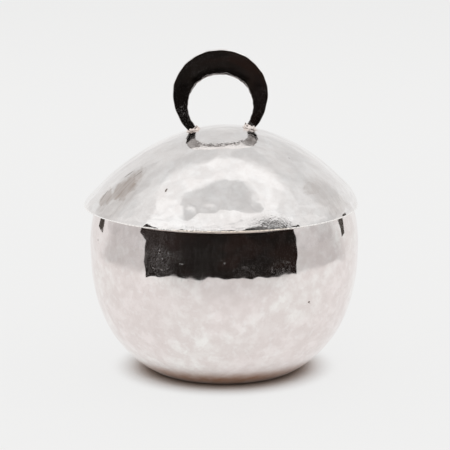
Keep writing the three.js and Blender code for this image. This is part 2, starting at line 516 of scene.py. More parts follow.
@dataclass(frozen=True)
class SilverFinish:
    """Polished silver plate: mottled colour, painted highlight specks, haze, hairline scratches, tarnish,
    painted shade towards the foot and small nicks.
    """

    name: str
    pale: Colour
    warm: Colour
    tarnish: Colour
    dull: Colour = (0.72, 0.66, 0.64)
    mottle_depth: float = 0.35
    mottle_size: float = 6 * MM
    mottle_range: Range = (0.36, 0.64)
    cloud_size: float = 22 * MM
    cloud_range: Range = (0.38, 0.62)
    patch_depth: float = 0.0
    patch_size: float = 5.5 * MM
    patch_range: Range = (0.2, 0.8)
    patch_smoothness: float = 0.3
    # painted highlights: small near-white spots in the colour, standing for glints off the hammered facets
    glint_depth: float = 0.0
    glint_size: float = 2.4 * MM
    glint_range: Range = (0.54, 0.68)
    glint_colour: Colour = (0.985, 0.975, 0.965)
    smooth: float = 0.045  # roughness of the cleanest polish
    hazy: float = 0.11
    haze_size: float = 4 * MM
    haze_range: Range = (0.3, 0.75)
    grain_size: float = 1.6 * MM
    grain_depth: float = 0.0015 * MM
    scratch_roughness: float = 0.10
    scratch_dig: float = 0.6
    scratch_range: Range = (0.68, 0.73)  # noise above this is a scratch
    scratch_break: Range = (0.44, 0.6)
    scratch_patch: float = 13 * MM
    scratches: tuple[Triple, ...] = ((0.3, 0.2, 0.9), (1.2, 0.5, -0.4), (0.1, 1.3, 2.2))  # their turns
    scratch_size: Triple = (0.35 * MM, 0.35 * MM, 14 * MM)
    foot_tint_low: float = 0.0  # the tarnish colour is full below this height and none above foot_tint_high; on the bowl's outside it is partly tarnish and partly painted shade, where the foot mirrors the floor's shadow
    foot_tint_high: float = 0.0
    foot_tint_size: float = 7 * MM
    foot_tint_uneven: Range = (0.45, 1.5)
    nicks: tuple[Mark, ...] = ()
    nick_colour: Colour = (0.16, 0.12, 0.10)
    nick_roughness: float = 0.3
    nick_dig: float = 6.0
    nick_ragged: float = 0.8
    smudges: tuple[Mark, ...] = ()
    smudge_ragged: float = 1.1
    smudge_uneven: Range = (0.66, 1.0)
    scuffs: tuple[Mark, ...] = ()
    scuff_ragged: float = 1.2
    scuff_roughness: float = 0.35
    scuff_film: float = 0.2
    scuff_size: float = 0.45 * MM
    scuff_range: Range = (0.44, 0.56)
    film: float = 0.002  # how much of the light a thin dull film scatters
    film_uneven: Range = (0.6, 1.6)
    filmed: tuple[Mark, ...] = ()  # where the film is thicker
    film_gain: float = 0.022
    filmed_roughness: float = 0.0
    streak_size: float = 0.9 * MM
    streak_radius: float = 50 * MM
    streak_stretch: float = 0.12  # how much the streaks are drawn out from top to bottom
    streak_range: Range = (0.42, 0.66)
    specks: tuple[Mark, ...] = ()  # where fine worn specks lie thickly
    speck_ragged: float = 1.4
    speck_size: float = 0.5 * MM
    speck_range: Range = (0.54, 0.62)
    speck_film: float = 0.16
    pits: tuple[Mark, ...] = ()  # where fine hammering roughens the surface
    pit_ragged: float = 0.5
    pit_size: float = 0.9 * MM
    pit_depth: float = 0.11 * MM

    def scratch_mask(self, graph: NodeGraph) -> Socket:
        """Draws hairline scratches in a few directions, broken up by larger noise.

        Args:
            graph: the node tree.

        Returns:
            1 on a scratch and 0 elsewhere.
        """
        total: object = 0.0
        for turn in self.scratches:
            drawn = graph.mapped((0.0, 0.0, 0.0), turn, self.scratch_size)
            line = graph.noise(1.0, detail=1.0, place=drawn)
            total = graph.maths("MAXIMUM", total, graph.ramp(line, *self.scratch_range))
        broken = graph.ramp(graph.noise(self.scratch_patch, detail=1.0), *self.scratch_break)
        return graph.maths("MULTIPLY", total, broken)

    @staticmethod
    def marks_mask(graph: NodeGraph, marks: tuple[Mark, ...], ragged: float) -> object:
        """Finds where some marks are.

        Args:
            graph: the node tree.
            marks: the marks.
            ragged: how much noise roughens their outlines.

        Returns:
            From 0 to 1, or plain 0 where there are none.
        """
        total: object = 0.0
        for mark in marks:
            total = graph.maths("MAXIMUM", total, mark.reach(graph, ragged))
        return total

    def streaks(self, graph: NodeGraph) -> Socket:
        """Streaks that run from the top down, as wiping and tarnish leave them.

        Args:
            graph: the node tree.

        Returns:
            From 0 to 1.
        """
        parts = graph.parts(graph.place)
        turn = graph.maths("ARCTAN2", parts[0], graph.maths("MULTIPLY", parts[1], -1.0))
        across = graph.maths("MULTIPLY", turn, self.streak_radius)
        along = graph.maths("MULTIPLY", parts[2], self.streak_stretch)
        drawn = graph.node("ShaderNodeCombineXYZ", {0: across, 1: along}).outputs[0]
        return graph.ramp(graph.noise(self.streak_size, detail=3.0, place=drawn), *self.streak_range)

    def patches(self, graph: NodeGraph) -> Socket:
        """Soft patches, as old hammer marks are left by polishing.

        Args:
            graph: the node tree.

        Returns:
            From 0 to 1, another value in each patch.
        """
        scale = 1.0 / self.patch_size
        moved = graph.shaken(graph.place, scale, 2.0 * self.patch_size, detail=3.0)
        inputs = {"Vector": moved, "Scale": scale, "Smoothness": self.patch_smoothness}
        cells = graph.node("ShaderNodeTexVoronoi", inputs, feature="SMOOTH_F1").outputs["Color"]
        return graph.ramp(graph.vectors("DOT_PRODUCT", cells, PLAIN_MEAN), *self.patch_range)

    def clean_colour(self, graph: NodeGraph) -> Socket:
        """The metal's colour, with its painted highlight specks, before tarnish and nicks.

        Args:
            graph: the node tree.

        Returns:
            The colour.
        """
        mottle = graph.ramp(graph.noise(self.mottle_size, detail=4.0), *self.mottle_range)
        cloud = graph.ramp(graph.noise(self.cloud_size, detail=3.0), *self.cloud_range)
        colour = graph.tint(cloud, self.pale, self.warm)
        colour = graph.tint(graph.maths("MULTIPLY", mottle, self.mottle_depth), colour, self.dull)
        if self.patch_depth:
            patch = graph.maths("MULTIPLY", self.patches(graph), self.patch_depth)
            colour = graph.tint(patch, colour, self.dull)
        # painted highlights: near-white glint specks
        if self.glint_depth:
            glint = graph.ramp(graph.noise(self.glint_size, detail=3.0), *self.glint_range)
            glint = graph.maths("MULTIPLY", glint, self.glint_depth)
            colour = graph.tint(glint, colour, self.glint_colour)
        return colour

    def stain_and_shade(self, graph: NodeGraph) -> object:
        """How strongly the tarnish colour shows: in the smudges, and towards the base, where on the bowl's
        outside it is partly painted shade.

        Args:
            graph: the node tree.

        Returns:
            From 0 to 1, or plain 0 where there is none.
        """
        stain_and_shade = self.marks_mask(graph, self.smudges, self.smudge_ragged)
        if self.smudges:
            streaky = graph.between(self.streaks(graph), *self.smudge_uneven)
            stain_and_shade = graph.maths("MULTIPLY", stain_and_shade, streaky)
        if self.foot_tint_high > self.foot_tint_low:
            low = graph.ramp(graph.parts(graph.place)[2], self.foot_tint_high, self.foot_tint_low)
            uneven = graph.between(graph.noise(self.foot_tint_size, detail=3.0), *self.foot_tint_uneven)
            stain_and_shade = graph.maths("MAXIMUM", stain_and_shade, graph.maths("MULTIPLY", low, uneven))
        return stain_and_shade

    def speckle(self, graph: NodeGraph) -> object:
        """Draws the worn specks.

        Args:
            graph: the node tree.

        Returns:
            From 0 to 1, or plain 0 where there are none.
        """
        if not self.specks:
            return 0.0
        fine = graph.ramp(graph.noise(self.speck_size, detail=3.0), *self.speck_range)
        zone = self.marks_mask(graph, self.specks, self.speck_ragged)
        return graph.maths("MULTIPLY", fine, zone)

    def scuffing(self, graph: NodeGraph) -> object:
        """Draws the scuffs, broken into specks.

        Args:
            graph: the node tree.

        Returns:
            From 0 to 1, or plain 0 where there are none.
        """
        if not self.scuffs:
            return 0.0
        speckle = graph.ramp(graph.noise(self.scuff_size), *self.scuff_range)
        zone = self.marks_mask(graph, self.scuffs, self.scuff_ragged)
        return graph.maths("MULTIPLY", zone, speckle)

    def relief(self, graph: NodeGraph, scratch: object, nick: object) -> Socket:
        """The finest unevenness of the surface: grain, scratches, nicks and pits.

        Args:
            graph: the node tree.
            scratch: where the scratches are.
            nick: where the nicks are.

        Returns:
            The normal.
        """
        grain = graph.noise(self.grain_size, detail=3.0)
        dug = graph.maths("SUBTRACT", grain, graph.maths("MULTIPLY", scratch, self.scratch_dig))
        dug = graph.maths("SUBTRACT", dug, graph.maths("MULTIPLY", nick, self.nick_dig))
        bump = graph.node("ShaderNodeBump", {"Height": dug, "Distance": self.grain_depth})
        if self.pits:
            pitted = graph.maths("SUBTRACT", graph.noise(self.pit_size, detail=1.5), MEAN_NOISE)
            zone = self.marks_mask(graph, self.pits, self.pit_ragged)
            pitted = graph.maths("MULTIPLY", pitted, zone)
            above = {"Height": pitted, "Distance": self.pit_depth, "Normal": bump.outputs[0]}
            bump = graph.node("ShaderNodeBump", above)
        return bump.outputs[0]

    def build(self) -> bpy.types.Material:
        """Makes the material.

        Returns:
            A new material with the finish's name.
        """
        material = bpy.data.materials.new(self.name)
        graph = NodeGraph(material)
        nick = self.marks_mask(graph, self.nicks, self.nick_ragged)
        scratch = self.scratch_mask(graph)
        scuff = self.scuffing(graph)
        filmy = self.marks_mask(graph, self.filmed, self.nick_ragged)
        colour = self.clean_colour(graph)
        # tarnish in the smudges; towards the foot, tarnish with painted shade
        colour = graph.tint(self.stain_and_shade(graph), colour, self.tarnish)
        colour = graph.tint(nick, colour, self.nick_colour)
        haze = graph.ramp(graph.noise(self.haze_size, detail=4.0), *self.haze_range)
        rough: object = graph.between(haze, self.smooth, self.hazy)
        for mask, gain in (
            (scratch, self.scratch_roughness),
            (nick, self.nick_roughness),
            (scuff, self.scuff_roughness),
            (filmy, self.filmed_roughness),
        ):
            rough = graph.maths("MULTIPLY_ADD", mask, gain, rough)
        uneven = graph.between(self.streaks(graph), *self.film_uneven)
        film = graph.maths("MULTIPLY_ADD", filmy, self.film_gain, self.film)
        film = graph.maths("MULTIPLY", film, uneven)
        film = graph.maths("MULTIPLY_ADD", scuff, self.scuff_film, film)
        film = graph.maths("MULTIPLY_ADD", self.speckle(graph), self.speck_film, film)
        shader = graph.node(
            "ShaderNodeBsdfPrincipled",
            {
                "Base Color": colour,
                "Metallic": graph.maths("SUBTRACT", 1.0, film),
                "Roughness": rough,
                "Normal": self.relief(graph, scratch, nick),
            },
        )
        graph.node("ShaderNodeOutputMaterial", {0: shader.outputs[0]})
        return material


BOWL_OUTSIDE = SilverFinish(
    name="bowl_silver_outside",
    pale=(0.955, 0.935, 0.91),
    warm=(0.91, 0.84, 0.825),
    dull=(0.79, 0.715, 0.695),
    mottle_depth=0.72,
    mottle_size=5 * MM,
    glint_depth=0.25,
    cloud_size=26 * MM,
    patch_depth=0.5,
    # tarnish and painted shade: the brown towards the foot stands partly for the floor's shadow that the
    # foot mirrors
    tarnish=(0.37, 0.175, 0.08),
    film=0.0065,
    smooth=0.035,
    hazy=0.065,
    foot_tint_low=2.8 * MM,
    foot_tint_high=9 * MM,
    filmed=(Mark((-26, -48, 60), (12, 12, 12)),),
    nicks=(
        Mark((33.4, -42.5, 37.7), (0.55, 0.55, 0.55)),
        Mark((33.9, -42.2, 37.1), (0.3, 0.3, 0.3)),
        Mark((-48.8, -23.2, 62.5), (0.5, 0.5, 0.6), strength=0.6),
        Mark((-50.6, -20.9, 57.9), (0.7, 0.7, 0.5), strength=0.5),
    ),
    scuffs=(
        Mark((-16.7, -52.3, 55.4), (1.3, 0.8, 0.25)),
        Mark((0, -54.9, 56.1), (0.9, 0.8, 0.2), (0, -0.8, 0)),
        Mark((-1.5, -54.8, 58.5), (0.16, 0.8, 2.4), (0, -0.5, 0), 0.5),
        Mark((8.1, -54.3, 54.7), (1.8, 1, 0.35), strength=0.45),
        Mark((-25.4, -48.5, 59.2), (0.16, 1.4, 2), (0, 0.25, 0), 0.7),
        Mark((-24.1, -49.1, 57.4), (0.14, 1.4, 1.5), (0, -0.35, 0), 0.6),
        Mark((-27.4, -47.6, 52.6), (1.1, 1.4, 0.16), (0, 0.4, 0), 0.7),
        Mark((-24.4, -49.1, 52.2), (0.8, 1.4, 0.15), (0, -0.3, 0), 0.7),
        Mark((18.6, -51.7, 53), (0.2, 0.8, 1.6), strength=0.5),
        Mark((22.9, -49.9, 52.6), (0.2, 0.8, 1.2), strength=0.4),
    ),
    specks=(
        Mark((-26, -48, 54), (8, 9, 9)),
        Mark((8, -54, 53), (6, 5, 3), strength=0.5),
        Mark((22, -50, 53), (7, 5, 4), strength=0.5),
        Mark((-2, -54, 56), (30, 9, 9), strength=0.12),
    ),
)
BOWL_INSIDE = SilverFinish(
    name="bowl_silver_inside",
    pale=(0.78, 0.745, 0.71),
    warm=(0.76, 0.69, 0.63),
    tarnish=(0.55, 0.44, 0.35),
    smooth=0.14,
    hazy=0.28,
    foot_tint_low=1 * MM,
    foot_tint_high=16 * MM,
)
LID_OUTSIDE = SilverFinish(
    name="lid_silver_outside",
    pale=(0.94, 0.925, 0.915),
    warm=(0.92, 0.895, 0.88),
    dull=(0.82, 0.775, 0.755),
    mottle_depth=0.38,
    mottle_size=3.5 * MM,
    patch_depth=0.35,
    tarnish=(0.45, 0.375, 0.33),
    smooth=0.035,
    hazy=0.08,
    nicks=(
        Mark((-22.7, -38.4, 81.7), (0.45, 1, 1.4), (0, 0.45, 0), 0.9),
        Mark((25.9, -19.5, 91.1), (0.35, 0.35, 0.35), strength=0.8),
        Mark((-38.1, -17.2, 84.1), (2.8, 4, 0.15), (0, -0.63, 0), 0.6),
        Mark((-34.3, -21.7, 85), (3, 4, 0.13), (0, -0.63, 0), 0.5),
        Mark((-48.1, -18.2, 75.4), (3.6, 4, 0.15), (0, -0.92, 0), 0.55),
    ),
    smudges=(
        Mark((-39.4, -24.5, 80.4), (8.5, 10, 5.5), (0, -0.7, 0), 0.9),
        Mark((-42, -27, 76), (15, 14, 7), (0, -0.8, 0), 0.3),
        Mark((41, -27, 77), (14, 14, 6.5), (0, 0.8, 0), 0.26),
        Mark((-35.3, -22, 84.2), (5.5, 6, 3.5), (0, -0.6, 0), 0.6),
        Mark((-46.8, -20.5, 75), (5, 7, 4), (0, -0.9, 0), 0.8),
        Mark((34.7, -29.9, 81), (5, 7, 3.2), strength=0.4),
    ),
    filmed=(Mark((17, -51.8, 72), (11, 10, 4.5)),),
    film_gain=0.09,
    filmed_roughness=0.2,
    glint_depth=0.2,
    streak_size=0.8 * MM,
    pits=(
        Mark((17, -51.8, 71.5), (12, 10, 4.5)),
        Mark((-11.5, -53.5, 70), (6, 8, 3), strength=0.5),
        Mark((-3, -53, 70.5), (26, 14, 4.5), strength=0.14),
        Mark((-1.5, -15, 97.5), (20, 9, 5), strength=0.45),
        Mark((-14, -6, 99.5), (8, 9, 5), strength=0.9),
        Mark((11, -6, 99.5), (7, 9, 5), strength=0.9),
    ),
)
LID_INSIDE = SilverFinish(
    name="lid_silver_inside",
    pale=(0.80, 0.775, 0.75),
    warm=(0.77, 0.72, 0.67),
    tarnish=(0.60, 0.50, 0.42),
    smooth=0.13,
    hazy=0.26,
)
# worn edge and painted highlight: the brim's edge is pale and mostly matt, so that it shows as a bright
# line; the cream patch in front is partly worn plating, partly painted reflection
BRIM_WORN_HIGHLIGHT = SilverFinish(
    name="lid_silver_worn_edge_highlight",
    pale=(0.98, 0.965, 0.95),
    warm=(0.97, 0.93, 0.90),
    dull=(0.93, 0.89, 0.86),
    tarnish=(0.97, 0.84, 0.71),
    smooth=0.18,
    hazy=0.32,
    film=0.9,
    smudges=(Mark((3, -55, 68.6), (30, 12, 4)),),
)
RING_SIDES = (Mark((-16.5, -1, 107), (8, 3, 15)), Mark((13.5, -1, 107), (8, 3, 15)))
RING_FACE = SilverFinish(
    name="ring_silver_plate",
    pale=(0.97, 0.95, 0.935),
    warm=(0.96, 0.93, 0.915),
    dull=(0.94, 0.905, 0.89),
    tarnish=(0.17, 0.15, 0.14),
    smooth=0.035,
    hazy=0.08,
    film=0.0013,
    filmed=(*RING_SIDES, Mark((-1.5, -1, 122), (14, 3, 3), strength=0.7)),
    film_gain=0.01,
    smudges=(
        *RING_SIDES,
        Mark((-1.5, -1, 122.7), (8, 3, 2.5)),
        Mark((-9, -1, 121.1), (6, 3, 2.3), (0, -0.5, 0)),
        Mark((6, -1, 121.1), (6, 3, 2.2), (0, 0.5, 0)),
    ),
    scuffs=(
        Mark((11, -1, 101.6), (2.6, 0.6, 0.8), (0, 0.5, 0), 0.9),
        Mark((-17.2, -1, 108.6), (0.9, 0.4, 0.25), (0, -0.3, 0), 0.8),
        Mark((-14.6, -1, 105), (0.8, 0.4, 0.3), (0, 0.3, 0), 0.9),
        Mark((-16.6, -1, 105.6), (0.3, 0.4, 0.9), (0, 0.4, 0), 0.7),
        Mark((-13.6, -1, 103), (1.6, 0.4, 1.2), strength=0.35),
        Mark((-11.2, -1, 125.6), (0.5, 0.4, 0.3), strength=0.6),
    ),
    specks=(
        Mark((-15.5, -1, 105), (5, 2, 6)),
        Mark((14, -1, 110), (5, 2, 8), strength=0.4),
        Mark((-6, -1, 126), (12, 2, 5), strength=0.1),
    ),
)
SOLDER_BEAD = SilverFinish(
    name="solder_silver_bead",
    pale=(0.95, 0.88, 0.84),
    warm=(0.93, 0.80, 0.73),
    tarnish=(0.60, 0.45, 0.36),
    mottle_size=2 * MM,
    smooth=0.10,
    hazy=0.26,
    grain_size=0.8 * MM,
    grain_depth=0.02 * MM,
)


@dataclass
class Bowl:
    """The bowl: one raised sheet with a flat base, a full belly and a rounded mouth edge."""

    sheet: float = 1.2 * MM
    base_radius: float = 29 * MM
    widest_height: float = 53 * MM
    belly_fullness: float = 2.4
    mouth_rise: float = 21.1 * MM
    mouth_draw_in: float = 4.5 * MM
    base_round: float = 1.6 * MM
    base_dish: float = 0.35 * MM
    floor_round: float = 5 * MM
    dish_range: Range = (0.5, 0.97)  # the share of the base over which its dish runs out
    foot_still: Range = (1 * MM, 7 * MM)  # heights between which the wall gets free to wander
    mouth_still: float = 4 * MM
    mouth_freedom: float = 0.25
    columns: int = 592
    finest: float = 0.5 * MM
    wall_rows: int = 108
    inner_rows: int = 56
    base_rows: int = 12
    corner_rows: int = 8
    lip_rows: int = 7
    belly_samples: int = 900
    shoulder_samples: int = 300
    marks: tuple[HammerMarks, ...] = (
        HammerMarks(spacing=9 * MM, dish=2.4, tilt=0.22, ridge=0.004 * MM, seed=11),
        HammerMarks(spacing=3.6 * MM, dish=3.0, tilt=0.16, ridge=0.002 * MM, seed=12),
    )
    wave: SlowWave = SlowWave(length=46 * MM, height=0.05 * MM, seed=13)
    radius: float = field(init=False)

    def __post_init__(self) -> None:
        """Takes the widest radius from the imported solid."""
        self.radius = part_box("bowl_body")[1].x

    @property
    def mouth_radius(self) -> float:
        """Outer radius of the mouth."""
        return self.radius - self.mouth_draw_in

    def wall(self, inset: float, rows: int) -> Array:
        """The wall from the floor up to the mouth, drawn inside the outer face.

        Args:
            inset: how far inside.
            rows: how many points.

        Returns:
            Its (radius, height) points, evenly spaced along the curve.
        """
        full = 1.0 - (self.base_radius / self.radius) ** self.belly_fullness
        depth = self.widest_height / full ** (1.0 / self.belly_fullness) - inset
        shoulder = self.mouth_rise / math.sqrt(1.0 - (self.mouth_radius / self.radius) ** 2) - inset
        radius = self.radius - inset
        power = 2.0 / self.belly_fullness
        lowest = math.asin(((self.widest_height - inset) / depth) ** (1.0 / power))
        highest = math.asin(self.mouth_rise / shoulder)
        turn = np.linspace(lowest, 0.0, self.belly_samples)
        heights = self.widest_height - depth * np.sin(turn) ** power
        belly = np.stack([radius * np.cos(turn) ** power, heights], 1)
        turn = np.linspace(0.0, highest, self.shoulder_samples)[1:]
        upper = np.stack([radius * np.cos(turn), self.widest_height + shoulder * np.sin(turn)], 1)
        return evenly(np.concatenate([belly, upper]), rows)

    def section(self) -> Section:
        """Draws the closed cut through the sheet, from the base's middle up, over the mouth and down inside.

        Returns:
            The cut.
        """
        outer = self.wall(0.0, self.wall_rows)
        inner = self.wall(self.sheet, self.inner_rows)[::-1]
        foot = [p for p in outer if np.hypot(p[0] - self.base_radius, p[1]) > self.base_round]
        level = np.linspace(0.0, self.base_radius - self.base_round, self.base_rows)
        dish = self.base_dish * (1.0 - smooth_step(*self.dish_range, level / level[-1]))
        base = np.stack([level, dish], 1)
        corner = rounded_corner(base[-1], (self.base_radius, 0.0), foot[0], self.corner_rows)
        lip = rounded_edge(foot[-1], inner[0], self.lip_rows)
        low = inner[-1][0]
        well = [p for p in inner if np.hypot(p[0] - low, p[1] - self.sheet) > self.floor_round]
        flat = np.linspace(low - self.floor_round, 0.0, self.base_rows)
        floor = np.stack([flat, np.full(len(flat), self.sheet + self.base_dish)], 1)
        bend = rounded_corner(well[-1], (low, floor[0][1]), floor[0], self.corner_rows)
        outside = np.concatenate([base, corner, foot])
        inside = np.concatenate([well, bend, floor])
        return joined_section(outside, lip, inside)

    def build(self) -> bpy.types.Object:
        """Makes the bowl in place of its plain solid.

        Returns:
            The piece.
        """
        sheet = TurnedSheet(self.section(), self.columns, self.finest)
        points, normals, outward, rows = sheet.grid()
        zones = sheet.section.zones[rows]
        shape = points.copy()
        shape += outward * self.wave.heights(points)[:, None] * self.free(points)[:, None]
        for marks in self.marks:
            for zone in (Zone.OUTSIDE, Zone.INSIDE):
                chosen = zones == zone.value
                lift = marks.heights(points[chosen]) * self.free(points[chosen])
                shape[chosen] += normals[chosen] * lift[:, None]
        faces, starts = sheet.faces()
        piece = make_piece("hammered_bowl", shape, faces)
        inside = sheet.section.zones[starts] == Zone.INSIDE.value
        dress(piece, [BOWL_OUTSIDE, BOWL_INSIDE], inside.astype(int))
        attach(piece, "bowl")
        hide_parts("bowl_body")
        return piece

    def free(self, points: Array) -> Array:
        """Finds how freely the surface may wander: hardly where the bowl stands or meets the lid.

        Args:
            points: points of the sheet.

        Returns:
            From 0 to 1 for each point.
        """
        rise = smooth_step(*self.foot_still, points[:, 2])
        top = self.widest_height + self.mouth_rise
        below = smooth_step(top, top - self.mouth_still, points[:, 2])
        return rise * (self.mouth_freedom + (1.0 - self.mouth_freedom) * below)


def evenly(points: Array, count: int, crowding: float = 1.0) -> Array:
    """Spreads points along a polyline.

    Args:
        points: its corners.
        count: how many points to return.
        crowding: above 1, they lie closer together towards the end.

    Returns:
        The points, with the polyline's ends first and last.
    """
    steps = np.linalg.norm(np.diff(points, axis=0), axis=1)
    along = np.concatenate([[0.0], np.cumsum(steps)])
    wanted = along[-1] * (1.0 - (1.0 - np.linspace(0.0, 1.0, count)) ** crowding)
    return np.stack([np.interp(wanted, along, points[:, axis]) for axis in (0, 1)], 1)


def rounded_corner(start: Array, corner: Pair, end: Array, rows: int) -> Array:
    """Points of a curve that rounds a corner, without its two ends."""
    return bezier([tuple(start), corner, tuple(end)], np.linspace(0, 1, rows)[1:-1])


def rounded_edge(start: Array, end: Array, rows: int) -> Array:
    """The half round of a sheet's edge, on the left of the way from start to end.

    Args:
        start: last point of one face.
        end: first point of the other face.
        rows: how many points between them.

    Returns:
        The points of the edge.
    """
    middle = (np.asarray(start) + np.asarray(end)) / 2.0
    half = (np.asarray(end) - np.asarray(start)) / 2.0
    out = np.array([half[1], -half[0]])
    turn = np.linspace(0.0, math.pi, rows + 2)[1:-1]
    return middle - np.outer(np.cos(turn), half) + EDGE_BULGE * np.outer(np.sin(turn), out)


def tube_faces(rows: int, columns: int, sides: int) -> Faces:
    """The faces of a skin whose last row joins its first.

    Args:
        rows: how many rows of points there are.
        columns: how many points each row has.
        sides: how many faces lie between two rows, as many as its points where a row is closed.

    Returns:
        The faces.
    """
    faces: Faces = []
    for row in range(rows):
        near, far = row * columns, (row + 1) % rows * columns
        for k in range(sides):
            j = (k + 1) % columns
            faces.append((far + k, far + j, near + j, near + k))
    return faces


def joined_section(
    first: Array, edge: Array, last: Array, before: Zone = Zone.OUTSIDE, after: Zone = Zone.INSIDE
) -> Section:
    """Joins the rows of a sheet's two faces and its edge.

    Args:
        first: rows of the face that comes first.
        edge: rows of the edge.
        last: rows of the other face.
        before: the side that the first face is on.
        after: the side that the other face is on.

    Returns:
        The section.
    """
    zones = [before.value] * len(first) + [Zone.EDGE.value] * len(edge) + [after.value] * len(last)
    return Section(np.concatenate([first, edge, last]), np.array(zones))


def dress(piece: bpy.types.Object, finishes: list[SilverFinish], choice: Array | None = None) -> None:
    """Gives a piece its materials.

    Args:
        piece: the piece.
        finishes: its finishes; one that is built already is used again.
        choice: the number of the finish of each face, if there are several.
    """
    for finish in finishes:
        material = bpy.data.materials.get(finish.name) or finish.build()
        piece.data.materials.append(material)
    if choice is not None:
        piece.data.polygons.foreach_set("material_index", choice)


@dataclass
class DomeShape:
    """The curve of the lid's dome and how far its crown and brim wander from the axis."""

    sheet: float = 1.2 * MM
    rise: float = 32 * MM
    crown_pull: float = 28.5 * MM
    brim_pull: float = 7.3 * MM
    brim_slope: float = math.radians(70)
    brim_overhang: float = 5.5 * MM
    crown_lean: float = 1 * MM
    brim_lean: float = -1.3 * MM
    mouth_radius: float = 50.5 * MM
    seat_radius: float = 47.38 * MM  # inside of the collar
    foot: float = field(init=False)  # height of the brim above the floor
    samples: int = 800
    height_rows: int = 400
    lean_steps: int = 3

    def __post_init__(self) -> None:
        """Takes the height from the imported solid."""
        self.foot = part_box("lid_dome")[1].z - self.rise

    @property
    def radius(self) -> float:
        """Outer radius of the brim."""
        return self.mouth_radius + self.brim_overhang

    def face(self, inset: float, rows: int, crowding: float = 1.0) -> Array:
        """One face of the dome, from the crown down to the brim.

        Args:
            inset: how far inside the outer face.
            rows: how many points.
            crowding: above 1, rows lie closer together towards the brim.

        Returns:
            Its (radius, height) points.
        """
        pull = (
            self.radius - self.brim_pull * math.cos(self.brim_slope),
            self.brim_pull * math.sin(self.brim_slope),
        )
        ends = [(0.0, self.rise), (self.crown_pull, self.rise), pull, (self.radius, 0.0)]
        share = np.linspace(0.0, 1.0, self.samples)
        curve = bezier(ends, share)
        run = np.gradient(curve, axis=0)
        run /= np.linalg.norm(run, axis=1, keepdims=True)
        curve = curve + inset * np.stack([run[:, 1], -run[:, 0]], 1)
        curve[0, 0] = 0.0
        curve[:, 1] += self.foot
        return evenly(curve, rows, crowding)

    def inner_heights(self, gap: float, radii: tuple[float, ...]) -> list[float]:
        """How high the dome's inner face lies at some radii, less a gap."""
        face = self.face(self.sheet + gap, self.height_rows)
        return [float(np.interp(radius, face[:, 0], face[:, 1])) for radius in radii]

    def lean(self, radius: Array) -> Array:
        """Finds how far the dome stands off the axis along X.

        Args:
            radius: distances from the axis.

        Returns:
            One length for each distance.
        """
        crown = self.crown_lean * (1.0 - (radius / self.seat_radius) ** 2)
        brim = self.brim_lean * (np.maximum(0.0, radius - self.mouth_radius) / self.brim_overhang) ** 2
        return np.where(radius < self.seat_radius, crown, brim)

    def height_at(self, across: Array, depth: Array) -> Array:
        """Height of the dome's outer face above the floor.

        Args:
            across: X of the places.
            depth: Y of the places.

        Returns:
            The heights.
        """
        face = self.face(0.0, self.height_rows)
        radius = np.hypot(across - self.crown_lean, depth)
        for _ in range(self.lean_steps):
            radius = np.hypot(across - self.lean(radius), depth)
        return np.interp(radius, face[:, 0], face[:, 1])


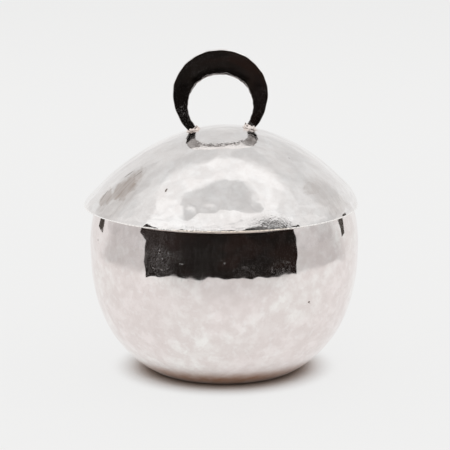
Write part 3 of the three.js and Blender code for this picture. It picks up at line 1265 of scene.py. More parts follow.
@dataclass
class Lid:
    """The lid's dome, its collar and the solder that runs round inside the collar."""

    shape: DomeShape = field(default_factory=DomeShape)
    columns: int = 720
    finest: float = 0.4 * MM
    outer_rows: int = 112
    crowding: float = 1.3
    inner_rows: int = 40
    edge_rows: int = 7
    crown_marks: HammerMarks = HammerMarks(spacing=13 * MM, dish=2.2, tilt=0.15, ridge=0.006 * MM, seed=27)
    small_marks: HammerMarks = HammerMarks(spacing=3.4 * MM, dish=5.0, tilt=0.35, ridge=0.003 * MM, seed=25)
    brim_marks: HammerMarks = HammerMarks(spacing=2 * MM, dish=22.0, tilt=1.7, ridge=0.012 * MM, seed=22)
    inner_marks: HammerMarks = HammerMarks(spacing=8 * MM, dish=4.0, tilt=0.5, ridge=0.01 * MM, seed=23)
    wave: SlowWave = SlowWave(length=40 * MM, height=0.05 * MM, seed=24)
    brim_zone: Range = (12.5 * MM, 7 * MM)  # the brim's marks fade in between these heights
    # height of the band at the brim's edge that gets the worn finish with its painted highlight
    worn_highlight_height: float = 0.32 * MM
    feet: tuple[Pair, ...] = ((-13.0 * MM, -3 * MM), (10.6 * MM, -3 * MM))
    feet_reach: float = 6 * MM
    feet_roughness: float = 0.9
    arch_middle: Pair = (-1.5 * MM, -17 * MM)  # where the dome mirrors the ring
    arch_size: Pair = (15 * MM, 5 * MM)
    arch_power: int = 4  # how squarely it ends
    arch_roughness: float = 0.25
    swells: tuple[Swell, ...] = (
        Swell(azimuth=18.5, level=74.6 * MM, across=6.5 * MM, along=3 * MM, height=0.75 * MM),
        Swell(azimuth=-12.0, level=71.8 * MM, across=3.5 * MM, along=2 * MM, height=0.16 * MM),
        Swell(azimuth=-31.0, level=71.5 * MM, across=2.5 * MM, along=1.8 * MM, height=0.32 * MM),
    )
    front_lift: float = 0.2 * MM  # how much higher the brim hangs in front
    front_share: float = 0.42  # over how much of a turn from the front, in radians
    front_fade: Range = (6 * MM, 1 * MM)  # heights above the brim between which that fades in
    seat_inset: float = 1.5 * MM  # where the dome rests on the bowl, inwards of the mouth's radius
    seat_still: Range = (1 * MM, 5 * MM)
    seat_freedom: float = 0.15
    collar_sheet: float = 1 * MM
    collar_bevel: float = 0.25 * MM
    collar_rows: tuple[int, ...] = (2, 2, 2, 9, 2, 4, 2, 9)  # points along each side of its section
    collar_marks: HammerMarks = HammerMarks(spacing=6 * MM, dish=1.5, tilt=0.3, ridge=0.006 * MM, seed=31)
    band_columns: int = 288
    solder_leg: float = 1.5 * MM
    solder_hollow: Pair = (0.42, 0.25)  # how far its face is drawn in, in legs
    solder_rows: tuple[int, int, int] = (9, 5, 6)
    solder_lumps: SlowWave = SlowWave(length=4 * MM, height=0.05 * MM, seed=33)
    lump_limit: float = 0.02 * MM
    join_gap: float = 0.3 * MM

    def rough_share(self, points: Array) -> Array:
        """Finds how strongly the small rough marks show: near the brim, and round the ring's feet.

        Args:
            points: points of the dome.

        Returns:
            From 0 to 1 for each point.
        """
        share = smooth_step(*self.brim_zone, points[:, 2] - self.shape.foot)
        for across, depth in self.feet:
            apart = np.hypot(points[:, 0] - across, points[:, 1] - depth)
            near = self.feet_roughness * np.exp(-((apart / self.feet_reach) ** 2))
            share = np.maximum(share, near)
        apart = (((points[:, :2] - self.arch_middle) / self.arch_size) ** self.arch_power).sum(1)
        return np.maximum(share, self.arch_roughness * np.exp(-apart))

    def swell_heights(self, points: Array) -> Array:
        """Finds how far the local bumps and dents raise the sheet.

        Args:
            points: points of the sheet.

        Returns:
            One height for each point, out through the sheet.
        """
        face = self.shape.face(0.0, self.shape.height_rows)
        total = np.zeros(len(points))
        for swell in self.swells:
            row = np.argmin(np.abs(face[:, 1] - swell.level))
            radius = face[row, 0]
            run = face[min(row + 1, len(face) - 1)] - face[row - 1]
            run /= np.linalg.norm(run)
            turn = math.radians(swell.azimuth)
            out = np.array([math.sin(turn), -math.cos(turn)])
            middle = np.array([*(out * radius), swell.level])
            side = np.array([-out[1], out[0], 0.0])
            down = np.array([*(out * run[0]), run[1]])
            apart = points - middle
            deep = (apart**2).sum(1) - (apart @ side) ** 2 - (apart @ down) ** 2
            reach = (apart @ side / swell.across) ** 2 + (apart @ down / swell.along) ** 2
            reach += np.maximum(deep, 0.0) / swell.across**2
            total += swell.height * np.exp(-reach / 2.0)
        return total

    def brim_lift(self, points: Array) -> Array:
        """Finds how much higher the brim hangs in front, as in a hand-made lid.

        Args:
            points: points of the sheet.

        Returns:
            One height for each point.
        """
        turn = np.arctan2(points[:, 0], -points[:, 1])
        near = smooth_step(*self.front_fade, points[:, 2] - self.shape.foot)
        return self.front_lift * np.exp(-((turn / self.front_share) ** 2)) * near

    def build_dome(self) -> bpy.types.Object:
        """Makes the dome in place of its plain solid.

        Returns:
            The piece.
        """
        inside = self.shape.face(self.shape.sheet, self.inner_rows)
        outside = self.shape.face(0.0, self.outer_rows, self.crowding)[::-1]
        edge = rounded_edge(inside[-1], outside[0], self.edge_rows)
        section = joined_section(inside, edge, outside, Zone.INSIDE, Zone.OUTSIDE)
        sheet = TurnedSheet(section, self.columns, self.finest)
        points, normals, outward, rows = sheet.grid()
        zones = sheet.section.zones[rows]
        radius = np.hypot(points[:, 0], points[:, 1])
        near_seat = np.abs(radius - self.shape.mouth_radius + self.seat_inset)
        free = self.seat_freedom + (1.0 - self.seat_freedom) * smooth_step(*self.seat_still, near_seat)
        shape = points.copy()
        shape += outward * ((self.wave.heights(points) * free) + self.swell_heights(points))[:, None]
        outer = zones == Zone.OUTSIDE.value
        lift = self.crown_marks.heights(points[outer]) + self.small_marks.heights(points[outer])
        lift += self.brim_marks.heights(points[outer]) * self.rough_share(points[outer])
        shape[outer] += normals[outer] * lift[:, None]
        inner = zones == Zone.INSIDE.value
        lift = self.inner_marks.heights(points[inner]) * free[inner]
        shape[inner] += normals[inner] * lift[:, None]
        shape[:, 0] += self.shape.lean(radius)
        shape[:, 2] += self.brim_lift(points)
        faces, starts = sheet.faces()
        piece = make_piece("hammered_lid_dome", shape, faces)
        # the brim's edge gets the worn finish with its painted highlight
        worn = section.points[starts, 1] < self.shape.foot + self.worn_highlight_height
        inside = section.zones[starts] == Zone.INSIDE.value
        choice = np.select([inside, worn], [1, 2], 0)
        dress(piece, [LID_OUTSIDE, LID_INSIDE, BRIM_WORN_HIGHLIGHT], choice)
        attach(piece, "lid_cover")
        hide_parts("lid_dome")
        return piece

    def band(self, loop: Array) -> TurnedSheet:
        """A closed cut, turned about the axis with the same columns in every row."""
        section = Section(loop, np.full(len(loop), Zone.OUTSIDE.value), closed=True)
        return TurnedSheet(section, self.band_columns, finest=0.0)

    def build_collar(self) -> bpy.types.Object:
        """Makes the collar, a plain band with softened edges, in place of its plain solid.

        Returns:
            The piece.
        """
        low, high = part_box("lid_collar")
        outer = high.x
        inner = outer - self.collar_sheet
        top = self.shape.inner_heights(self.join_gap, (inner, outer))
        bevel = self.collar_bevel
        corners = [
            (inner, low.z + bevel),
            (inner + bevel, low.z),
            (outer - bevel, low.z),
            (outer, low.z + bevel),
            (outer, top[1] - bevel),
            (outer - bevel, top[1]),
            (inner + bevel, top[0]),
            (inner, top[0] - bevel),
        ]
        ends = zip(corners, corners[1:] + corners[:1], self.collar_rows)
        loop = np.concatenate([evenly(np.array([a, b]), count)[:-1] for a, b, count in ends])
        sheet = self.band(loop)
        points, normals, _, _ = sheet.grid()
        shape = points + normals * self.collar_marks.heights(points)[:, None]
        faces, _ = sheet.faces()
        piece = make_piece("lid_collar_band", shape, faces)
        dress(piece, [LID_INSIDE])
        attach(piece, "lid_seat")
        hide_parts("lid_collar")
        return piece

    def build_collar_solder(self) -> bpy.types.Object:
        """Makes the run of solder in the corner of collar and dome, in place of its plain solid.

        Returns:
            The piece.
        """
        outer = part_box("collar_solder")[1].x
        leg = self.solder_leg
        top = self.shape.inner_heights(self.join_gap, (outer - leg, outer))
        foot = (outer, top[1] - leg)
        toe = (outer - leg, top[0])
        hollow = (outer - self.solder_hollow[0] * leg, top[1] - self.solder_hollow[1] * leg)
        fillet_rows, wall_rows, back_rows = self.solder_rows
        fillet = bezier([toe, hollow, foot], np.linspace(0, 1, fillet_rows))
        wall = evenly(np.array([foot, (outer, top[1])]), wall_rows)[1:]
        back = evenly(np.array([(outer, top[1]), toe]), back_rows)[1:-1]
        sheet = self.band(np.concatenate([fillet, wall, back]))
        points, normals, _, _ = sheet.grid()
        lumps = np.minimum(self.solder_lumps.heights(points), self.lump_limit)
        radius = np.hypot(points[:, 0], points[:, 1])
        free = smooth_step(outer, outer - self.join_gap, radius)
        shape = points + normals * (lumps * free)[:, None]
        faces, _ = sheet.faces()
        piece = make_piece("collar_solder_run", shape, faces)
        dress(piece, [SOLDER_BEAD])
        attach(piece, "lid_seat")
        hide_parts("collar_solder")
        return piece


@dataclass
class RingHandle:
    """The pierced plate that stands on the dome with its two feet."""

    shape: DomeShape
    half_width: float = 19.3 * MM
    middle_rise: float = 13.2 * MM
    upper_height: float = 18.25 * MM
    lower_height: float = 20.5 * MM
    hole_radius: float = 13.2 * MM
    hole_rise: float = 8.3 * MM
    hole_flat: float = 0.5 * MM  # how much lower the hole's top is than a true circle's
    hole_flat_power: float = 1.5
    plate: float = 2 * MM
    offset: float = -1.5 * MM
    join_gap: float = 0.3 * MM
    edge_round: float = 0.3 * MM
    hole_bevel: float = 0.75 * MM
    back_bevel: float = 0.4  # the bevel on the back, as a share of that on the front
    crowning: float = 18.0  # how strongly the front face is filed back towards its outer edge, per metre
    crowning_start: float = 0.5  # how far out that begins, as a share of the way across
    raggedness: float = 0.05 * MM
    hole_beats: tuple[Pair, ...] = ((9.0, 0.4), (17.0, 2.1), (31.0, 4.4))  # waves in a turn, and phase
    outer_beats: tuple[Pair, ...] = ((7.0, 1.3), (13.0, 0.2), (23.0, 5.0))
    burr_beats: tuple[Triple, ...] = ((11.0, 0.6, 0.25), (19.0, 2.0, 0.2), (41.0, 0.0, 0.12))
    burr_top: Range = (1.25, 0.75)  # radians from the hole's top between which the bevel widens
    burr_least: float = 0.3
    burr_width: float = 0.75
    burr_range: Range = (0.15, 1.2)
    burr_rows: tuple[Pair, ...] = ((0.16, 0.8), (0.0, 0.45), (0.0, -0.2), (0.06, -0.40), (0.34, -0.46))
    around: int = 400
    across: int = 24
    edge_rows: int = 5
    foot_turns: Range = (0.1, 2.4)  # the angles from straight down between which a foot is looked for
    halvings: int = 36
    marks: HammerMarks = HammerMarks(spacing=5.5 * MM, dish=2.2, tilt=0.35, ridge=0.006 * MM, seed=41)
    mark_limit: float = 0.02 * MM

    @property
    def crown(self) -> float:
        """Height of the crown above the floor."""
        return self.shape.foot + self.shape.rise

    def outline(self, turn: Array, hole: bool) -> Array:
        """Points of the outer outline or of the finger hole, as (X, Z).

        Args:
            turn: angles from straight down, towards +X.
            hole: True for the finger hole.

        Returns:
            One row for each angle.
        """
        beats = self.hole_beats if hole else self.outer_beats
        ragged = self.raggedness * sum(np.sin(beat * turn + phase) for beat, phase in beats)
        if hole:
            flat = self.hole_flat * np.maximum(0.0, -np.cos(turn)) ** self.hole_flat_power
            wide = self.hole_radius + ragged - flat
            tall, rise = wide, self.hole_rise
        else:
            wide = self.half_width + ragged
            tall = np.where(np.cos(turn) > 0.0, self.lower_height, self.upper_height) + ragged
            rise = self.middle_rise
        return np.stack([self.offset + wide * np.sin(turn), self.crown + rise - tall * np.cos(turn)], 1)

    def burr(self, turn: Array) -> Array:
        """Finds how wide the filed bevel of the hole is along its edge.

        Args:
            turn: angles from straight down, towards +X.

        Returns:
            From 0 to 1 for each angle, or a little more.
        """
        top = smooth_step(*self.burr_top, np.abs(np.mod(turn, TURN) - math.pi))
        uneven = sum(np.sin(beat * turn + phase) * height for beat, phase, height in self.burr_beats)
        width = np.clip(self.burr_width + uneven, *self.burr_range)
        return self.burr_least + (1.0 - self.burr_least) * top * width

    def at(self, turn: Array, share: float, hole_inset: float, outer_inset: float) -> Array:
        """Points across the plate, from the hole to the outer edge.

        Args:
            turn: angles from straight down, towards +X.
            share: 0 at the hole and 1 at the outer edge.
            hole_inset: how far share 0 stays from the hole, where its bevel is widest.
            outer_inset: how far share 1 stays from the outer edge.

        Returns:
            The (X, Z) points.
        """
        hole = self.outline(turn, True)
        run = self.outline(turn, False) - hole
        width = np.linalg.norm(run, axis=1, keepdims=True)
        near = hole_inset * self.burr(turn)[:, None]
        return hole + run / width * (near + share * (width - near - outer_inset))

    def foot_turn(self, share: float, hole_inset: float, outer_inset: float, side: int) -> float:
        """The angle at which a line along the plate meets the dome, found by halving.

        Args:
            share: which line, as in at().
            hole_inset: as in at().
            outer_inset: as in at().
            side: -1 for the left foot and 1 for the right one.

        Returns:
            The angle.
        """
        low, high = self.foot_turns
        for _ in range(self.halvings):
            middle = (low + high) / 2.0
            spot = self.at(np.array([side * middle]), share, hole_inset, outer_inset)[0]
            ground = self.shape.height_at(np.array([spot[0]]), np.array([0.0]))[0] + self.join_gap
            if spot[1] > ground:
                high = middle
            else:
                low = middle
        return side * high

    def loop(self) -> list[tuple[float, float, float, float]]:
        """The cut through the plate: front face, outer edge, back face and the hole's edge with its burr.

        Returns:
            Rows of share, hole inset, outer inset and Y.
        """
        half = self.plate / 2.0
        wide, edge = self.hole_bevel, self.edge_round
        shares = np.linspace(0.0, 1.0, self.across)
        front = [(float(share), wide, edge, -half) for share in shares]
        turns = np.linspace(-math.pi / 2.0, math.pi / 2.0, self.edge_rows + 2)[1:-1]
        outer = [(1.0, wide, edge * (1.0 - math.cos(t)), half * math.sin(t)) for t in turns]
        back = [(float(share), wide * self.back_bevel, edge, half) for share in shares[::-1]]
        inner = [(0.0, wide * inset, edge, half * depth) for inset, depth in self.burr_rows]
        return front + outer + back + inner

    def skin(self) -> Array:
        """Points of the plate: one line for each row of the cut, from the right foot to the left one.

        Returns:
            Lines, points on each line, and X, Y and Z.
        """
        lines = []
        for share, hole_inset, outer_inset, depth in self.loop():
            right = self.foot_turn(share, hole_inset, outer_inset, 1)
            left = self.foot_turn(share, hole_inset, outer_inset, -1) + TURN
            turn = np.linspace(right, left, self.around)
            flat = self.at(turn, share, hole_inset, outer_inset)
            bar = np.linalg.norm(self.outline(turn, True) - self.outline(turn, False), axis=1)
            filed = self.crowning * (bar * max(0.0, share - self.crowning_start)) ** 2 * float(depth < 0.0)
            lines.append(np.stack([flat[:, 0], depth + filed, flat[:, 1]], 1))
        points = np.stack(lines)
        lift = self.marks.heights(points.reshape(-1, 3)).reshape(points.shape[:2])
        lift = np.minimum(lift, self.mark_limit) - self.mark_limit
        back = slice(self.across + self.edge_rows, 2 * self.across + self.edge_rows)
        points[: self.across, :, 1] -= lift[: self.across]
        points[back, :, 1] += lift[back]
        return points

    def end_faces(self, rows: int, columns: int, column: int) -> Faces:
        """Closes one foot of the ring, across from its front face to its back face.

        Args:
            rows: points round the cut.
            columns: points along the ring.
            column: which end.

        Returns:
            The faces.
        """
        faces: Faces = []
        inner = (len(self.burr_rows) + 1) // 2
        outer = (self.edge_rows + 1) // 2
        order = list(range(-inner, self.across + outer))
        opposite = [2 * self.across + self.edge_rows - 1 - k for k in order]
        for k in range(len(order) - 1):
            ring = [order[k], order[k + 1], opposite[k + 1], opposite[k]]
            corners = list(dict.fromkeys((r % rows) * columns + column for r in ring))
            faces.append(tuple(corners if column else corners[::-1]))
        return faces

    def build(self) -> bpy.types.Object:
        """Makes the ring in place of its plain solid.

        Returns:
            The piece.
        """
        points = self.skin()
        rows, columns = points.shape[:2]
        faces = tube_faces(rows, columns, columns - 1)
        faces += self.end_faces(rows, columns, 0)
        faces += self.end_faces(rows, columns, columns - 1)
        piece = make_piece("ring_handle_plate", points.reshape(-1, 3), faces)
        dress(piece, [RING_FACE])
        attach(piece, "lid_cover")
        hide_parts("ring_handle")
        return piece


@dataclass
class FootSolder:
    """One bead of solder that wraps a foot of the ring."""

    ring: RingHandle
    side: int
    seed: int
    reach: float = 0.95 * MM
    height: float = 1.2 * MM
    lump: float = 0.4
    around: int = 96
    steps: int = 14
    under: Pair = (0.5, 0.0)  # how far out the rows of its underside lie, as shares of its reach
    seam: float = 0.03 * MM
    squareness: float = 0.6  # the power that makes the foot's round outline square
    slope: float = 1.4
    bulge: float = 0.14 * MM
    bulge_turn: float = 1.2  # radians that the bulges wind round on the way down
    beats: tuple[int, int, int] = (2, 3, 6)
    grain: float = 0.12 * MM
    grain_length: float = 1.1 * MM
    dent: float = 0.5  # the deepest dent, as a share of the height there

    def beat(self, turn: Array, phases: Array) -> Array:
        """Lumpiness round the foot, from -1 to 1, as three waves."""
        waves = [np.sin(beats * turn + phase) for beats, phase in zip(self.beats, phases)]
        return sum(waves) / len(waves)

    def rows(self) -> list[Array]:
        """Rows of points round the foot, down the bead and back in under it.

        Returns:
            The points of each row.
        """
        ring = self.ring
        ends = [
            ring.at(np.array([ring.foot_turn(share, 0.0, 0.0, self.side)]), share, 0.0, 0.0)[0][0]
            for share in (0.0, 1.0)
        ]
        half = abs(ends[1] - ends[0]) / 2.0
        phases = np.random.default_rng(self.seed).uniform(0.0, TURN, (3, 3))
        turn = np.arange(self.around) * TURN / self.around
        wide, tall = (1.0 + self.lump * self.beat(turn, phase) for phase in phases[:2])
        way = np.stack([np.cos(turn), np.sin(turn)], 1)
        foot = np.array([half, ring.plate / 2.0]) + self.seam
        near = foot * np.sign(way) * np.abs(way) ** self.squareness
        rows: list[Array] = []
        for share in (*np.linspace(0.0, 1.0, self.steps), *self.under):
            place = near + way * (self.reach * wide * share)[:, None]
            x = sum(ends) / 2.0 + place[:, 0]
            height = ring.shape.height_at(x, place[:, 1]) + self.seam
            if len(rows) < self.steps:
                rise = self.height * tall * (1.0 - share) ** self.slope
                lumps = self.beat(turn + self.bulge_turn * share, phases[2])
                bulge = self.bulge * np.sin(math.pi * share) * lumps
                height += rise + np.maximum(bulge, -self.dent * rise)
            rows.append(np.stack([x, place[:, 1], height], 1))
        return rows

    def build(self) -> bpy.types.Object:
        """Makes the bead in place of its plain solid.

        Returns:
            The piece.
        """
        rows = self.rows()
        points = np.concatenate(rows)
        fine = SlowWave(length=self.grain_length, height=self.grain, seed=self.seed).heights(points)
        upper = np.arange(len(points)) < (self.steps - 1) * self.around
        points[:, 2] += np.maximum(fine, -self.dent * self.grain) * upper
        name = "left" if self.side < 0 else "right"
        piece = make_piece(f"foot_solder_{name}", points, tube_faces(len(rows), self.around, self.around))
        dress(piece, [SOLDER_BEAD])
        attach(piece, "lid_cover")
        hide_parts(f"handle_solder_{name}")
        return piece


@dataclass(frozen=True)
class SkyPanel:
    """A soft-edged patch of the light tent, as polished metal mirrors it."""

    azimuth: float  # degrees from the front, towards +X
    elevation: float
    width: float  # half width and half height, as tangents
    height: float
    softness: float
    brightness: float
    aside: float = 0.0  # how far its middle is moved towards +X, as a tangent


@dataclass(frozen=True)
class Slit:
    """A dark gap at a rear corner of the light tent."""

    name: str
    azimuth: float  # degrees from the front, towards +X
    half_turn: float
    foot: float  # height of its lower end


@dataclass
class Studio:
    """The pale floor, the light tent and the dark room in front of it, in metres and degrees."""

    floor_reach: float = 6.0
    floor_middle: float = 0.05
    floor_rings: int = 24
    floor_columns: int = 96
    floor_drop: float = 0.02 * MM
    floor_colour: Colour = (0.875, 0.874, 0.87)
    floor_white: float = 0.9  # how much of its shade the open floor loses, as a white background does
    shadow_reach: float = 13 * MM
    shadow_range: Range = (0.17, 0.82)
    painted_shadow_range: Range = (0.03, 0.37)
    painted_shadow_colour: Colour = (0.245, 0.2, 0.165)  # painted shadow: the floor's colour right at the bowl's foot
    mirrored_lift: float = 0.15  # how much more open the floor counts where polished metal mirrors it
    fade_range: Range = (0.5, 1.5)
    fade: float = 0.965
    front_range: Range = (-0.21, -0.09)
    front_floor: float = 0.80  # the floor's mirrored brightness just before the dark room
    wall_range: Range = (0.225, 0.26)  # where the tent's wall meets the floor
    wall_turn: Range = (0.2, 0.6)  # from the side to the back, as the sine of the azimuth
    front_wall: float = 0.69
    back_wall: float = 0.98
    lamp_level: float = 1.0
    backdrop: float = 0.87
    tent_wall: float = 0.74
    tent_foot: float = 0.86
    tent_rise: Range = (0.0, 0.6)
    panels: tuple[SkyPanel, ...] = (
        SkyPanel(azimuth=-88, elevation=2, width=0.55, height=0.4, softness=0.5, brightness=0.625),
        SkyPanel(azimuth=86, elevation=2, width=0.55, height=0.4, softness=0.5, brightness=0.63),
        SkyPanel(azimuth=-84, elevation=42, width=0.42, height=0.5, softness=0.35, brightness=0.84),
        SkyPanel(azimuth=82, elevation=42, width=0.42, height=0.5, softness=0.35, brightness=0.84),
        SkyPanel(azimuth=-8, elevation=56, width=1.35, height=0.62, softness=0.12, brightness=0.985),
        SkyPanel(
            azimuth=0, elevation=88, width=0.66, height=0.47, softness=0.2, brightness=0.98, aside=-0.06
        ),
        SkyPanel(
            azimuth=0, elevation=85, width=0.36, height=0.175, softness=0.18, brightness=0.70, aside=-0.07
        ),
    )
    sky_lumps: float = 0.05  # how far the panels' outlines wander, as a tangent
    sky_lump_scale: float = 5.0
    fold_zone: SkyPanel = SkyPanel(
        azimuth=2, elevation=47, width=0.6, height=0.22, softness=0.4, brightness=0.0
    )
    fold_scale: float = 11.0
    fold_range: Range = (0.46, 0.62)
    fold_shade: float = 0.74  # brightness of the folds in that part of the tent
    cloth_scale: float = 7.0
    cloth_range: Range = (0.35, 0.65)
    cloth_levels: Range = (0.93, 1.05)
    room_near: float = 0.243  # where the tent's floor ends, from the bowl's axis
    room_far: float = 0.70
    room_foot: float = 0.3 * MM
    room_height: float = 0.555
    room_bend: float = 1.6  # the power by which it rises
    room_near_left: float = 0.028  # how much nearer the room's near edge comes at its left end
    room_near_right: float = 0.008
    room_near_power: int = 3  # how late, on the way to its ends, it comes nearer
    room_left: float = -69.5
    room_right: float = 63.5
    room_horn: float = 8.0  # degrees that the opening widens to the left above eye level
    horn_range: Range = (5.0, 9.0)
    room_low_rows: tuple[float, float, int] = (0.0, 0.1, 9)
    room_high_rows: tuple[float, float, int] = (0.12, 1.0, 14)
    room_columns: int = 60
    room_colour: Colour = (0.0085, 0.0068, 0.0058)
    room_left_colour: Colour = (0.034, 0.027, 0.025)
    room_left_range: Range = (-0.1, -0.55)
    room_lit_colour: Colour = (0.0145, 0.0085, 0.0068)  # of the dim things in the room
    room_lit_size: float = 0.17
    room_lit_range: Range = (0.45, 0.62)
    mirror_height: float = 65 * MM  # of the part of the bowl that mirrors the room
    mirror_depth: float = 50 * MM  # how far that part lies in front of the bowl's axis
    parallax: float = 29.5 * MM  # how far aside of the axis the mirrored sight lines pass
    slits: tuple[Slit, ...] = (
        Slit("left", azimuth=-129.0, half_turn=5.0, foot=0.002),
        Slit("right", azimuth=119.5, half_turn=3.4, foot=0.012),
    )
    slit_distance: float = 0.78
    slit_top: float = 0.15
    slit_colour: Colour = (0.07, 0.062, 0.055)

    def build_floor(self) -> bpy.types.Object:
        """Makes the floor, a plain pale disc with a finer middle.

        Returns:
            The floor.
        """
        rings = np.geomspace(self.floor_middle, self.floor_reach, self.floor_rings)
        rings = np.concatenate([[0.0], rings])
        points = np.stack([rings, np.zeros(len(rings))], 1)
        section = Section(points[::-1].copy(), np.full(len(points), Zone.OUTSIDE.value))
        sheet = TurnedSheet(section, self.floor_columns, finest=0.0)
        shape, _, _, _ = sheet.grid()
        faces, _ = sheet.faces()
        floor = make_piece("studio_floor", shape - np.array([0.0, 0.0, self.floor_drop]), faces)
        floor.data.materials.append(self.floor_material())
        return floor

    def floor_material(self) -> bpy.types.Material:
        """Makes the floor's material: it keeps the object's shadow, deepened near the bowl's foot by a
        painted shadow colour, and is plain white elsewhere.

        Returns:
            The material.
        """
        material = bpy.data.materials.new("studio_floor_white")
        graph = NodeGraph(material)
        rays = graph.node("ShaderNodeLightPath").outputs
        mirrored = rays["Is Glossy Ray"]
        open_sky = graph.node("ShaderNodeAmbientOcclusion", {"Distance": self.shadow_reach}).outputs["AO"]
        open_sky = graph.maths("MULTIPLY_ADD", mirrored, self.mirrored_lift, open_sky)
        # painted shadow: the floor's colour turns dark brown where ambient occlusion finds little open sky
        painted_shadow = graph.ramp(open_sky, *self.painted_shadow_range)
        tone = graph.tint(painted_shadow, self.painted_shadow_colour, self.floor_colour)
        shaded = graph.node("ShaderNodeBsdfDiffuse", {"Color": tone})
        level = graph.between(mirrored, self.far_fade(graph), self.mirrored_floor(graph))
        lit = graph.node("ShaderNodeEmission", {"Color": self.floor_colour, "Strength": level})
        seen = graph.maths("MAXIMUM", rays["Is Camera Ray"], mirrored)
        seen = graph.maths("MAXIMUM", seen, rays["Is Transmission Ray"])
        clear = graph.maths("MULTIPLY", graph.ramp(open_sky, *self.shadow_range), self.floor_white)
        share = graph.maths("MULTIPLY", seen, clear)
        shader = graph.node("ShaderNodeMixShader", {0: share, 1: shaded.outputs[0], 2: lit.outputs[0]})
        graph.node("ShaderNodeOutputMaterial", {0: shader.outputs[0]})
        return material

    def far_fade(self, graph: NodeGraph) -> Socket:
        """How the floor's own brightness fades a little towards the far background."""
        far = graph.ramp(graph.vectors("LENGTH", graph.place), *self.fade_range)
        return graph.between(far, 1.0, self.fade)

    def mirrored_floor(self, graph: NodeGraph) -> Socket:
        """The brightness that polished metal mirrors: the floor inside the tent, then the tent's wall.

        Args:
            graph: the floor's node tree.

        Returns:
            The brightness, as a share of the floor's colour.
        """
        depth = graph.parts(graph.place)[1]
        near = graph.between(graph.ramp(depth, *self.front_range), self.front_floor, 1.0)
        reach = graph.vectors("LENGTH", graph.place)
        rearward = graph.maths("DIVIDE", depth, reach)
        wall = graph.between(graph.ramp(rearward, *self.wall_turn), self.front_wall, self.back_wall)
        return graph.between(graph.ramp(reach, *self.wall_range), near, wall)

    def build_room(self) -> bpy.types.Object:
        """Makes the dark room's card, which only polished metal sees.

        Returns:
            The card.
        """
        across = np.linspace(-1.0, 1.0, self.room_columns)
        nearer = np.where(across < 0.0, self.room_near_left, self.room_near_right)
        nearer *= np.abs(across) ** self.room_near_power
        rows = []
        for share in np.concatenate([np.linspace(*self.room_low_rows), np.linspace(*self.room_high_rows)]):
            middle = self.room_near + (self.room_far - self.room_near) * share
            level = self.room_foot + self.room_height * share**self.room_bend
            seen = math.degrees(math.asin(self.parallax / middle))
            rise = math.degrees(math.atan2(level - self.mirror_height, middle - self.mirror_depth))
            horn = float(smooth_step(*self.horn_range, np.array(rise))) * self.room_horn
            left = self.room_left + seen - horn
            right = self.room_right - seen
            turn = np.radians(left + (right - left) * (across + 1.0) / 2.0)
            rows.append(self.arc(turn, middle - nearer * (1.0 - share), level))
        return self.card("dark_room_card", np.stack(rows), self.room_colour, in_room=True)

    def build_slits(self) -> list[bpy.types.Object]:
        """Makes the two dark slits at the tent's rear corners, which only polished metal sees.

        Returns:
            The cards.
        """
        made = []
        for slit in self.slits:
            turn = np.radians(slit.azimuth + slit.half_turn * np.array([-1.0, 1.0]))
            rows = [self.arc(turn, self.slit_distance, level) for level in (slit.foot, self.slit_top)]
            made.append(self.card(f"tent_slit_{slit.name}", np.stack(rows), self.slit_colour))
        return made

    @staticmethod
    def arc(turn: Array, reach: float | Array, level: float) -> Array:
        """Points round the bowl's axis, by their angles from the front, distance and height."""
        return np.stack([reach * np.sin(turn), -reach * np.cos(turn), np.full(len(turn), level)], 1)

    def card(self, name: str, grid: Array, colour: Colour, in_room: bool = False) -> bpy.types.Object:
        """A dim card that shows in reflections alone.

        Args:
            name: its name.
            grid: rows and columns of points.
            colour: what it gives off.
            in_room: True where it is paler on the far left and dim things show on it.

        Returns:
            The card.
        """
        rows, columns = grid.shape[:2]
        faces = [
            (r * columns + c, r * columns + c + 1, (r + 1) * columns + c + 1, (r + 1) * columns + c)
            for r in range(rows - 1)
            for c in range(columns - 1)
        ]
        card = make_piece(name, grid.reshape(-1, 3), faces)
        material = bpy.data.materials.new(name)
        graph = NodeGraph(material)
        shown: object = colour
        if in_room:
            left = graph.ramp(graph.parts(graph.place)[0], *self.room_left_range)
            shown = graph.tint(left, shown, self.room_left_colour)
            patches = graph.ramp(graph.noise(self.room_lit_size, detail=4.0), *self.room_lit_range)
            shown = graph.tint(patches, shown, self.room_lit_colour)
        shader = graph.node("ShaderNodeEmission", {"Color": shown, "Strength": 1.0})
        graph.node("ShaderNodeOutputMaterial", {0: shader.outputs[0]})
        material.cycles.emission_sampling = "NONE"
        card.data.materials.append(material)
        card.visible_camera = False
        card.visible_diffuse = False
        card.visible_shadow = False
        card.visible_transmission = False
        return card

    def build_world(self) -> None:
        """Lights the scene evenly, and gives polished metal a light tent to mirror."""
        world = bpy.data.worlds.new("light_tent")
        bpy.context.scene.world = world
        graph = NodeGraph(world)
        way = graph.ways["Generated"]
        up = graph.parts(way)[2]
        way = graph.shaken(way, self.sky_lump_scale, self.sky_lumps * 2.0)
        way = graph.vectors("NORMALIZE", way)
        sky = graph.between(graph.ramp(up, *self.tent_rise), self.tent_foot, self.tent_wall)
        for panel in self.panels:
            sky = graph.between(self.panel_mask(graph, way, panel), sky, panel.brightness)
        folds = graph.ramp(graph.noise(1.0 / self.fold_scale, detail=3.0, place=way), *self.fold_range)
        folds = graph.maths("MULTIPLY", folds, self.panel_mask(graph, way, self.fold_zone))
        sky = graph.between(folds, sky, self.fold_shade)
        cloth = graph.ramp(graph.noise(1.0 / self.cloth_scale, detail=3.0, place=way), *self.cloth_range)
        sky = graph.maths("MULTIPLY", sky, graph.between(cloth, *self.cloth_levels))
        rays = graph.node("ShaderNodeLightPath").outputs
        level = graph.between(rays["Is Glossy Ray"], self.lamp_level, sky)
        level = graph.between(rays["Is Camera Ray"], level, self.backdrop)
        light = graph.node("ShaderNodeBackground", {"Color": (1.0, 1.0, 1.0), "Strength": level})
        graph.node("ShaderNodeOutputWorld", {0: light.outputs[0]})

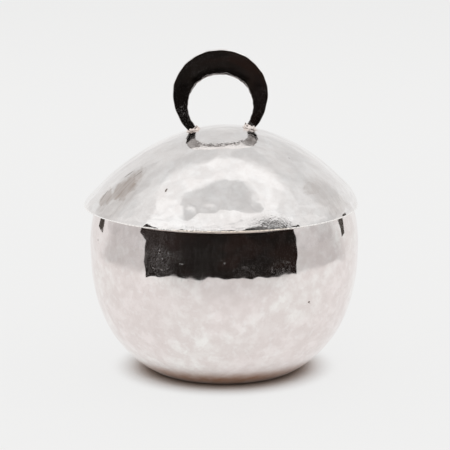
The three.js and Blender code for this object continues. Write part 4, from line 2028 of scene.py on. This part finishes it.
    @staticmethod
    def panel_mask(graph: NodeGraph, way: Socket, panel: SkyPanel) -> Socket:
        """Where a panel lies in the sky.

        Args:
            graph: the world's node tree.
            way: the direction that is looked in.
            panel: the panel.

        Returns:
            1 inside the panel and 0 outside it.
        """
        turn, rise = math.radians(panel.azimuth), math.radians(panel.elevation)
        middle = (math.sin(turn) * math.cos(rise), -math.cos(turn) * math.cos(rise), math.sin(rise))
        side = (math.cos(turn), math.sin(turn), 0.0)
        top = (-math.sin(turn) * math.sin(rise), math.cos(turn) * math.sin(rise), math.cos(rise))
        ahead = graph.maths("MAXIMUM", graph.vectors("DOT_PRODUCT", way, middle), LEAST_AHEAD)
        across = graph.maths("DIVIDE", graph.vectors("DOT_PRODUCT", way, side), ahead)
        across = graph.maths("SUBTRACT", across, panel.aside)
        upward = graph.maths("DIVIDE", graph.vectors("DOT_PRODUCT", way, top), ahead)
        total: object = 0.0
        for offset, size in ((across, panel.width), (upward, panel.height)):
            share = graph.maths("ABSOLUTE", graph.maths("DIVIDE", offset, size))
            total = graph.maths("ADD", total, graph.maths("POWER", share, SQUARENESS))
        apart = graph.maths("POWER", total, 1.0 / SQUARENESS)
        return graph.ramp(apart, 1.0 + panel.softness, 1.0 - panel.softness)


@dataclass(frozen=True)
class ViewPoint:
    """The camera, at the photograph's height and distance."""

    elevation: float = math.radians(12.3)
    distance: float = 0.9
    target_height: float = 59.5 * MM
    aside: float = 0.35 * MM
    focal_length: float = 175.4
    sensor_width: float = 36.0

    def build(self) -> bpy.types.Object:
        """Makes the camera and puts it in use.

        Returns:
            The camera.
        """
        data = bpy.data.cameras.new("view_camera")
        data.lens = self.focal_length
        data.sensor_width = self.sensor_width
        camera = bpy.data.objects.new("view_camera", data)
        bpy.context.scene.collection.objects.link(camera)
        back = self.distance * math.cos(self.elevation)
        camera.location = (self.aside, -back, self.target_height + self.distance * math.sin(self.elevation))
        camera.rotation_euler = (math.pi / 2.0 - self.elevation, 0.0, 0.0)
        bpy.context.scene.camera = camera
        return camera


def main() -> None:
    """Builds the scene and reports each piece."""
    logging.basicConfig(level=logging.INFO, format="%(message)s", force=True)
    bpy.context.scene.view_settings.view_transform = "Standard"
    ViewPoint().build()
    studio = Studio()
    studio.build_world()
    studio.build_floor()
    studio.build_room()
    studio.build_slits()
    report(Bowl().build())
    lid = Lid()
    report(lid.build_dome())
    report(lid.build_collar())
    report(lid.build_collar_solder())
    ring = RingHandle(lid.shape)
    report(ring.build())
    report(FootSolder(ring, side=-1, seed=51).build())
    report(FootSolder(ring, side=1, seed=52, reach=1.1 * MM, height=1.6 * MM).build())


if __name__ == "__main__":
    main()
